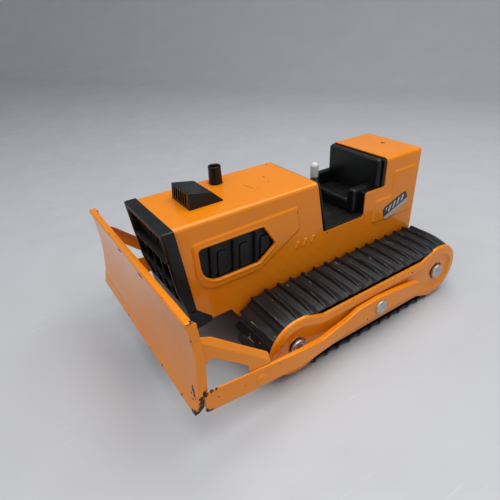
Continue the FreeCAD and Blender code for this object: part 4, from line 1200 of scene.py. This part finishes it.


# ---------------------------------------------------------------- finishes of this toy

# The first spot covers the tank's hole and darkens its rim and walls as painted shade; the rest are
# chips.
COVER_CHIPS_AND_HOLE_SHADE = [(0.2, 128.7, 160.2, 2.9), (37.4, -62.5, 137.5, 0.75), (37.6, -16.5, 124.5, 0.9),
               (37.4, -99.0, 134.0, 0.55),
               (37.5, -3.5, 79.5, 0.8), (37.5, 2.5, 62.0, 0.7), (-6.0, -20.5, 145.0, 0.9),
               (6.0, -24.0, 145.0, 0.6), (37.0, -75.0, 76.0, 0.5), (37.0, -30.0, 70.0, 0.6),
               (12.0, -38.0, 145.0, 0.5), (-30.0, 0.0, 145.0, 0.9), (20.0, 131.0, 146.6, 0.5),
               (36.9, 20.0, 92.0, 0.9), (-37.2, -40.0, 100.0, 0.8), (-37.2, 60.0, 60.0, 1.1),
               (20.0, 147.0, 90.0, 1.0), (-18.0, 147.0, 60.0, 0.8)]
BLADE_CHIPS = [(101.0, -152.0, 118.0, 1.2), (101.6, -158.6, 39.5, 2.6), (98.0, -159.2, 38.4, 1.9),
               (94.4, -155.9, 58.0, 1.5), (95.6, -156.2, 55.4, 2.3), (97.2, -156.6, 52.2, 2.0),
               (98.6, -157.0, 49.6, 1.2), (92.6, -156.6, 50.6, 1.3), (95.4, -157.4, 47.0, 1.2),
               (102.0, -152.9, 51.0, 2.0), (102.0, -152.6, 47.0, 2.8), (102.0, -153.4, 42.8, 3.0),
               (102.0, -155.4, 39.6, 2.2), (100.8, -153.6, 59.0, 0.8), (101.4, -154.0, 104.0, 0.8),
               (80.0, -159.3, 38.0, 1.3), (20.0, -159.3, 38.0, 0.9), (-98.0, -158.0, 46.0, 1.0),
               (-60.0, -157.0, 46.0, 0.7), (-30.0, -159.0, 39.0, 1.0), (45.0, -159.0, 38.6, 1.1),
               (60.0, -155.0, 62.0, 0.5), (-20.0, -155.0, 62.0, 0.5), (30.0, -153.4, 96.0, 0.45),
               (-75.0, -153.2, 88.0, 0.5), (5.0, -156.0, 118.6, 0.6), (-42.0, -156.0, 118.4, 0.8),
               (68.0, -156.2, 118.2, 0.6), (88.0, -153.9, 66.0, 0.4), (-88.0, -154.6, 117.0, 0.9)]
ARM_CHIPS = [(101.8, -150.0, 52.4, 2.4), (101.8, -144.6, 53.0, 1.6), (101.8, -151.0, 36.6, 2.6),
             (101.8, -147.0, 34.6, 1.8), (101.8, -141.0, 52.8, 1.1),
             (101.8, -140.0, 44.0, 0.7), (101.8, -118.0, 40.0, 0.5), (101.8, -86.0, 42.6, 0.6),
             (96.0, -20.0, 30.0, 0.5), (94.4, 20.0, 27.0, 0.9), (94.4, 60.0, 36.0, 0.5),
             (100.6, -55.0, 38.9, 0.6), (-101.8, -120.0, 36.0, 0.9), (-94.4, 10.0, 30.0, 0.7)]
FRAME_CHIPS = [(89.0, -75.0, 44.5, 0.6), (89.0, -30.0, 44.0, 0.8), (89.0, 85.0, 48.0, 0.9),
               (89.0, 110.0, 24.0, 0.8), (88.6, 5.0, 52.9, 0.7), (88.8, 60.0, 53.2, 0.8),
               (89.0, -44.0, 24.0, 0.6), (-89.0, 20.0, 40.0, 0.9)]
HOOD_SCRATCH = ((-2.2, -44.9), (13.9, -41.8), 0.6)


class ToyPaints(bpy.types.PropertyGroup):
    """Colours of the toy's finishes."""

    orange: FloatVectorProperty(name="Enamel orange", description="Stove enamel of the steel panels",
                                default=(0.81, 0.262, 0.010), size=3, min=0, max=1, subtype="COLOR")
    moulding: FloatVectorProperty(name="Moulding black", description="Plastic of nose, seat and engine",
                                  default=(0.010, 0.0104, 0.0112), size=3, min=0, max=1, subtype="COLOR")
    tread: FloatVectorProperty(name="Tread black", description="Vinyl of the track belts",
                               default=(0.0165, 0.0178, 0.0210), size=3, min=0, max=1, subtype="COLOR")
    zinc: FloatVectorProperty(name="Zinc", description="Plating of caps, rivet heads and shafts",
                              default=(0.62, 0.61, 0.58), size=3, min=0, max=1, subtype="COLOR")
    grip: FloatVectorProperty(name="Grip white", description="Plastic of the lever's knob",
                              default=(0.66, 0.64, 0.58), size=3, min=0, max=1, subtype="COLOR")
    label_field: FloatVectorProperty(name="Label field", description="Ground colour of the side label",
                                     default=(0.045, 0.05, 0.058), size=3, min=0, max=1, subtype="COLOR")
    label_band: FloatVectorProperty(name="Label band", description="Lower band of the side label",
                                    default=(0.42, 0.42, 0.40), size=3, min=0, max=1, subtype="COLOR")
    table: FloatVectorProperty(name="Table top", description="Pale surface under the toy",
                               default=(0.52, 0.53, 0.545), size=3, min=0, max=1, subtype="COLOR")


class ToyShapes(bpy.types.PropertyGroup):
    """Sizes of pressed and moulded details."""

    corner_radius: FloatProperty(name="Cover corner radius",
                                 description="Rounding of the hood and tank edges",
                                 default=0.0036, min=0.001, max=0.006, unit="LENGTH")
    panel_rise: FloatProperty(name="Panel rise", description="Height of the pressed side panels",
                              default=PANEL_RISE * MM, min=0.0002, max=0.0015, unit="LENGTH")
    cover_steel: FloatProperty(name="Cover steel", description="Thickness of the cover's sheet",
                               default=0.001, min=0.0006, max=0.0015, unit="LENGTH")
    blade_steel: FloatProperty(name="Blade steel", description="Thickness of the blade's sheet",
                               default=0.0012, min=0.0008, max=0.002, unit="LENGTH")
    belt_wall: FloatProperty(name="Belt wall", description="Thickness of the belt under its grousers",
                             default=0.0022, min=0.001, max=0.003, unit="LENGTH")


class ToyStudio(bpy.types.PropertyGroup):
    """Camera and light of the studio."""

    camera_place: FloatVectorProperty(name="Camera place", description="Where the camera stands",
                                      default=(0.2835, -0.2222, 0.2818), size=3, subtype="TRANSLATION",
                                      unit="LENGTH")
    azimuth: FloatProperty(name="Azimuth", description="Turn of the camera round the toy",
                           default=math.radians(57.7), subtype="ANGLE", unit="ROTATION")
    pitch: FloatProperty(name="Pitch", description="Camera's tilt down from level",
                         default=math.radians(31.1), subtype="ANGLE", unit="ROTATION")
    roll: FloatProperty(name="Roll", description="Camera's lean about its own axis",
                        default=math.radians(-3.2), subtype="ANGLE", unit="ROTATION")
    lens: FloatProperty(name="Lens", description="Focal length on a 36 mm wide sensor",
                        default=29.91, min=10, max=200)
    key_power: FloatProperty(name="Key light", description="Power of the overhead soft box",
                             default=11.0, min=0, max=200, unit="POWER")
    fill_power: FloatProperty(name="Fill light", description="Power of the side soft box",
                              default=2.2, min=0, max=200, unit="POWER")
    sky: FloatProperty(name="Room light", description="Strength of the even light of the room",
                       default=0.40, min=0, max=5)
    backdrop_steps: IntProperty(name="Backdrop steps", description="Segments of the backdrop's bend",
                                default=24, min=6, max=64)


def paints():
    return bpy.context.scene.toy_paints


def shapes():
    return bpy.context.scene.toy_shapes


def finish_named(name):
    """The named finish, made the first time it is asked for."""
    ready = bpy.data.materials.get(name)
    if ready is not None:
        return ready
    choice = paints()
    orange, black = tuple(choice.orange), tuple(choice.moulding)
    makers = {
        "cover_enamel": lambda: enamel(name, orange, COVER_CHIPS_AND_HOLE_SHADE, HOOD_SCRATCH),
        "blade_enamel": lambda: enamel(name, orange, BLADE_CHIPS),
        "arm_enamel": lambda: enamel(name, orange, ARM_CHIPS),
        "frame_enamel": lambda: enamel(name, orange, FRAME_CHIPS),
        "nose_moulding": lambda: moulded(name, black, 0.30, 0.12),
        "engine_moulding": lambda: moulded(name, [c * 1.15 for c in black], 0.40, 0.12),
        "cab_moulding": lambda: moulded(name, black, 0.34, 0.20),
        "tread_vinyl": lambda: tread_vinyl(name, tuple(choice.tread)),
        # Near-black copy of the moulding for the blade's slot walls: painted shade.
        "slot_painted_shade": lambda: moulded(name, [c * 0.5 for c in black], 0.6, 0.05),
        "drum_plastic": lambda: moulded(name, [c * 1.4 for c in black], 0.45, 0.30),
        "zinc_plate": lambda: plated(name, tuple(choice.zinc)),
        "chassis_black": lambda: satin_paint(name, (0.018, 0.018, 0.019), 0.5),
        "lever_grey": lambda: satin_paint(name, (0.16, 0.165, 0.17), 0.42),
        "grip_white": lambda: grip_white(name, tuple(choice.grip)),
        "side_label": lambda: decal_print(name, tuple(choice.label_field), tuple(choice.label_band)),
    }
    return makers[name]()


def dress_node(node, finish, bevel=0.0):
    """Give a frame node that stays as it is a finish and, if wanted, softened edges."""
    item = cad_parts[node]
    material = finish_named(finish)
    for holder in item.material_slots:
        holder.material = material
    if bevel:
        weld = item.modifiers.new("weld", "WELD")
        weld.merge_threshold = 0.00001
        ease = item.modifiers.new("edges", "BEVEL")
        ease.width = bevel * MM
        ease.segments = 2
        ease.limit_method = "ANGLE"
        ease.angle_limit = math.radians(40)


# ---------------------------------------------------------------- operators


class TOY_OT_cover(bpy.types.Operator):
    """Build the pressed hood, cab and tank cover"""

    bl_idname = "toy.cover"
    bl_label = "Cover"

    def execute(self, context):
        sizes = shapes()
        bm = cover_mesh(sizes.corner_radius / MM, sizes.panel_rise / MM)
        finish_piece(bm, "cover", "chassis", ["body_shell"], finish_named("cover_enamel"),
                     wall=sizes.cover_steel / MM)
        return {"FINISHED"}


class TOY_OT_nose(bpy.types.Operator):
    """Build the nose grille"""

    bl_idname = "toy.nose"
    bl_label = "Nose grille"

    def execute(self, context):
        finish_piece(joined(nose_parts()), "nose_grille", "chassis", ["grille"],
                     finish_named("nose_moulding"))
        return {"FINISHED"}


class TOY_OT_hood_fittings(bpy.types.Operator):
    """Build the air intake and the exhaust stack"""

    bl_idname = "toy.hood_fittings"
    bl_label = "Intake and stack"

    def execute(self, context):
        finish_piece(intake_mesh(), "intake", "chassis", ["air_intake"],
                     finish_named("nose_moulding"))
        finish_piece(stack_mesh(), "stack", "chassis", ["exhaust_stack"],
                     finish_named("nose_moulding"))
        return {"FINISHED"}


class TOY_OT_mouldings(bpy.types.Operator):
    """Build the engine moulding and the cab moulding"""

    bl_idname = "toy.mouldings"
    bl_label = "Engine and cab mouldings"

    def execute(self, context):
        finish_piece(joined(engine_parts()), "engine_side", "chassis", ["engine_block"],
                     finish_named("engine_moulding"))
        finish_piece(joined(cab_parts()), "cab_seat", "chassis", ["seat_insert"],
                     finish_named("cab_moulding"))
        return {"FINISHED"}


class TOY_OT_tracks(bpy.types.Operator):
    """Build both track belts"""

    bl_idname = "toy.tracks"
    bl_label = "Track belts"

    def execute(self, context):
        wall = shapes().belt_wall / MM
        for side, word in ((1, "left"), (-1, "right")):
            finish_piece(belt_mesh(side), f"belt_{word}", "chassis", [f"track_belt_{word}"],
                         finish_named("tread_vinyl"), wall=wall, sharp=42.0)
        return {"FINISHED"}


class TOY_OT_side_frames(bpy.types.Operator):
    """Build both pressed track frames"""

    bl_idname = "toy.side_frames"
    bl_label = "Track frames"

    def execute(self, context):
        for side, word in ((1, "left"), (-1, "right")):
            finish_piece(frame_mesh(side), f"frame_{word}", "chassis", [f"track_frame_{word}"],
                         finish_named("frame_enamel"), wall=FRAME_STEEL)
        return {"FINISHED"}


class TOY_OT_heads(bpy.types.Operator):
    """Build the axle caps, the shaft heads and the painted rivets"""

    bl_idname = "toy.heads"
    bl_label = "Caps and rivets"

    def execute(self, context):
        caps = [cap_mesh(side, y) for side in (1, -1) for y in (FRONT_AXLE, REAR_AXLE)]
        finish_piece(joined(caps), "hub_caps", "chassis", ["axle_caps"],
                     finish_named("zinc_plate"), sharp=50.0)
        heads = [pivot_head_mesh(side) for side in (1, -1)] + struck_marks(1) + struck_marks(-1)
        finish_piece(joined(heads), "shaft_heads", "blade_frame", ["pivot_heads"],
                     finish_named("zinc_plate"), sharp=50.0)
        finish_piece(joined([rivet_mesh(side) for side in (1, -1)]), "painted_rivets", "blade_frame",
                     ["arm_rivets"], finish_named("arm_enamel"), sharp=50.0)
        return {"FINISHED"}


class TOY_OT_blade(bpy.types.Operator):
    """Build the blade plate and its end flanges"""

    bl_idname = "toy.blade"
    bl_label = "Blade"

    def execute(self, context):
        plate = finish_piece(blade_mesh(), "blade_plate", "blade_frame", ["blade"],
                             finish_named("blade_enamel"), wall=shapes().blade_steel / MM, rim=0.25)
        # Second material: the slot walls, darkened as painted shade.
        plate.data.materials.append(finish_named("slot_painted_shade"))
        flanges = joined([blade_flange_mesh(side) for side in (1, -1)])
        finish_piece(flanges, "blade_flanges", "blade_frame", ["blade"],
                     finish_named("blade_enamel"))
        return {"FINISHED"}


class TOY_OT_arms(bpy.types.Operator):
    """Build the push arms and the slanted end brackets"""

    bl_idname = "toy.arms"
    bl_label = "Push arms and brackets"

    def execute(self, context):
        for side, word in ((1, "left"), (-1, "right")):
            finish_piece(arm_mesh(side), f"arm_{word}", "blade_frame", [f"push_arm_{word}"],
                         finish_named("arm_enamel"))
            finish_piece(bracket_mesh(side), f"brace_{word}", "blade_frame", [f"end_bracket_{word}"],
                         finish_named("arm_enamel"))
        return {"FINISHED"}


class TOY_OT_lever(bpy.types.Operator):
    """Build the hand lever and its grip"""

    bl_idname = "toy.lever"
    bl_label = "Hand lever"

    def execute(self, context):
        finish_piece(lever_mesh(), "hand_lever_plate", "hand_lever", ["lift_lever"],
                     finish_named("lever_grey"))
        finish_piece(knob_mesh(), "grip", "hand_lever", ["lever_knob"],
                     finish_named("grip_white"))
        return {"FINISHED"}


class TOY_OT_running_parts(bpy.types.Operator):
    """Finish the drums, axles, chassis and small parts that keep their shape"""

    bl_idname = "toy.running_parts"
    bl_label = "Chassis and running parts"

    def execute(self, context):
        for end in ("front", "rear"):
            dress_node(f"{end}_axle", "zinc_plate")
            for word in ("left", "right"):
                dress_node(f"{end}_wheel_{word}", "drum_plastic")
        for node in ("axle_spacers", "cross_shaft", "pivot_washers", "lever_pin", "crank_pin"):
            dress_node(node, "zinc_plate")
        for node in ("chassis_plate", "lever_bracket", "lift_crank", "chassis_rivets"):
            dress_node(node, "chassis_black", 0.25)
        dress_node("blade_stiffener", "blade_enamel", 0.3)
        for word in ("left", "right"):
            dress_node(f"side_sticker_{word}", "side_label")
        return {"FINISHED"}


class TOY_OT_studio(bpy.types.Operator):
    """Set up the table, the backdrop, the lights and the camera"""

    bl_idname = "toy.studio"
    bl_label = "Studio"

    def execute(self, context):
        studio = context.scene.toy_studio
        table_top(studio)
        soft_box("overhead_box", place=(0.15, 0.15, 1.1), target=(0.0, 0.0, 0.05), size=1.3,
                 power=studio.key_power)
        soft_box("side_box", place=(0.35, -1.15, 0.75), target=(0.0, 0.0, 0.06), size=0.9,
                 power=studio.fill_power)
        room = bpy.data.worlds.new("room")
        room.use_nodes = True
        light = room.node_tree.nodes["Background"].inputs
        light["Color"].default_value = (0.93, 0.95, 1.0, 1.0)
        light["Strength"].default_value = studio.sky
        context.scene.world = room
        context.scene.view_settings.view_transform = "Standard"
        context.scene.view_settings.look = "Medium High Contrast"
        place_camera(context.scene, studio)
        return {"FINISHED"}


def table_top(studio):
    """Pale table that bends up into a backdrop well behind the toy."""
    bm = bmesh.new()
    near, far, half_width = -1.6, 1.1, 4.5
    radius, height = 0.7, 2.2
    section = [(near, 0.0), (far, 0.0)]
    for step in range(1, studio.backdrop_steps + 1):
        angle = math.pi / 2 * step / studio.backdrop_steps
        section.append((far + radius * math.sin(angle), radius * (1 - math.cos(angle))))
    section.append((far + radius, height))
    turn = Matrix.Rotation(math.radians(32), 3, "Z")
    run = chain(bm, [turn @ Vector((-half_width, y, z)) for y, z in section])
    grow(bm, run, [turn @ Vector((half_width, y, z)) for y, z in section], closed=False)
    bmesh.ops.recalc_face_normals(bm, faces=bm.faces)
    for face in bm.faces:
        face.smooth = True
    mesh = bpy.data.meshes.new("table_top")
    bm.to_mesh(mesh)
    bm.free()
    table = bpy.data.objects.new("table_top", mesh)
    bpy.context.scene.collection.objects.link(table)
    mesh.materials.append(table_laminate("table_laminate", tuple(paints().table)))


def table_laminate(name, colour):
    """Pale laminate with faint cloudy marks and fine scratches."""
    paint = Paint(name)
    cloud = paint.ramp(paint.noise(9.0, 5.0, 0.6), 0.35, 0.7)
    body = paint.mix(cloud, [c * 0.965 for c in colour], colour)
    mark = paint.ramp(paint.noise(55.0, 5.0, 0.7), 0.66, 0.8, 0.0, 0.16)
    body = paint.mix(mark, body, (0.42, 0.43, 0.45))
    scratch = paint.ramp(paint.noise(26.0, 3.0, 0.5, (9.0, 0.6, 1.0)), 0.68, 0.74, 0.0, 0.10)
    body = paint.mix(scratch, body, (0.86, 0.87, 0.9))
    rough = paint.ramp(paint.noise(30.0, 4.0), 0.3, 0.7, 0.42, 0.58)
    return paint.finish(body, rough, paint.bump(paint.noise(120.0, 4.0), 0.05, 0.3))


def soft_box(name, place, target, size, power):
    """Square area light that stands at place and faces target."""
    light = bpy.data.lights.new(name, "AREA")
    light.shape = "SQUARE"
    light.size = size
    light.energy = power
    item = bpy.data.objects.new(name, light)
    item.location = place
    item.rotation_euler = (Vector(target) - Vector(place)).to_track_quat("-Z", "Y").to_euler()
    item.visible_camera = False
    bpy.context.scene.collection.objects.link(item)


def place_camera(scene, studio):
    """Camera at its place, turned by azimuth, pitch and roll."""
    lens = bpy.data.cameras.new("camera")
    lens.lens = studio.lens
    lens.sensor_width = 36.0
    lens.clip_start = 0.01
    lens.clip_end = 20.0
    camera = bpy.data.objects.new("camera", lens)
    turn, tilt, lean = studio.azimuth, studio.pitch, studio.roll
    back = Vector((math.sin(turn) * math.cos(tilt), -math.cos(turn) * math.cos(tilt), math.sin(tilt)))
    level = Vector((math.cos(turn), math.sin(turn), 0.0))
    above = back.cross(level)
    right = level * math.cos(lean) + above * math.sin(lean)
    up = above * math.cos(lean) - level * math.sin(lean)
    facing = Matrix((right, up, back)).transposed().to_4x4()
    camera.matrix_world = Matrix.Translation(Vector(studio.camera_place)) @ facing
    scene.collection.objects.link(camera)
    scene.camera = camera


class TOY_PT_builder(bpy.types.Panel):
    """Lists the steps that build the toy"""

    bl_label = "Toy Bulldozer"
    bl_idname = "TOY_PT_builder"
    bl_space_type = "VIEW_3D"
    bl_region_type = "UI"
    bl_category = "Bulldozer"

    def draw(self, context):
        for group in (context.scene.toy_paints, context.scene.toy_shapes, context.scene.toy_studio):
            box = self.layout.box()
            for name in group.__annotations__:
                box.prop(group, name)
        for step in STEPS:
            self.layout.operator(step.bl_idname)


STEPS = (TOY_OT_cover, TOY_OT_nose, TOY_OT_hood_fittings, TOY_OT_mouldings, TOY_OT_tracks,
         TOY_OT_side_frames, TOY_OT_heads, TOY_OT_blade, TOY_OT_arms, TOY_OT_lever,
         TOY_OT_running_parts, TOY_OT_studio)
GROUPS = (ToyPaints, ToyShapes, ToyStudio)


def register():
    for group in GROUPS:
        bpy.utils.register_class(group)
    bpy.types.Scene.toy_paints = PointerProperty(type=ToyPaints)
    bpy.types.Scene.toy_shapes = PointerProperty(type=ToyShapes)
    bpy.types.Scene.toy_studio = PointerProperty(type=ToyStudio)
    for item in (*STEPS, TOY_PT_builder):
        bpy.utils.register_class(item)


def unregister():
    for item in reversed((*STEPS, TOY_PT_builder)):
        bpy.utils.unregister_class(item)
    del bpy.types.Scene.toy_studio
    del bpy.types.Scene.toy_shapes
    del bpy.types.Scene.toy_paints
    for group in reversed(GROUPS):
        bpy.utils.unregister_class(group)


def main():
    register()
    bpy.ops.toy.cover()
    bpy.ops.toy.nose()
    bpy.ops.toy.hood_fittings()
    bpy.ops.toy.mouldings()
    bpy.ops.toy.tracks()
    bpy.ops.toy.side_frames()
    bpy.ops.toy.heads()
    bpy.ops.toy.blade()
    bpy.ops.toy.arms()
    bpy.ops.toy.lever()
    bpy.ops.toy.running_parts()
    bpy.ops.toy.studio()


if __name__ == "__main__":
    main()
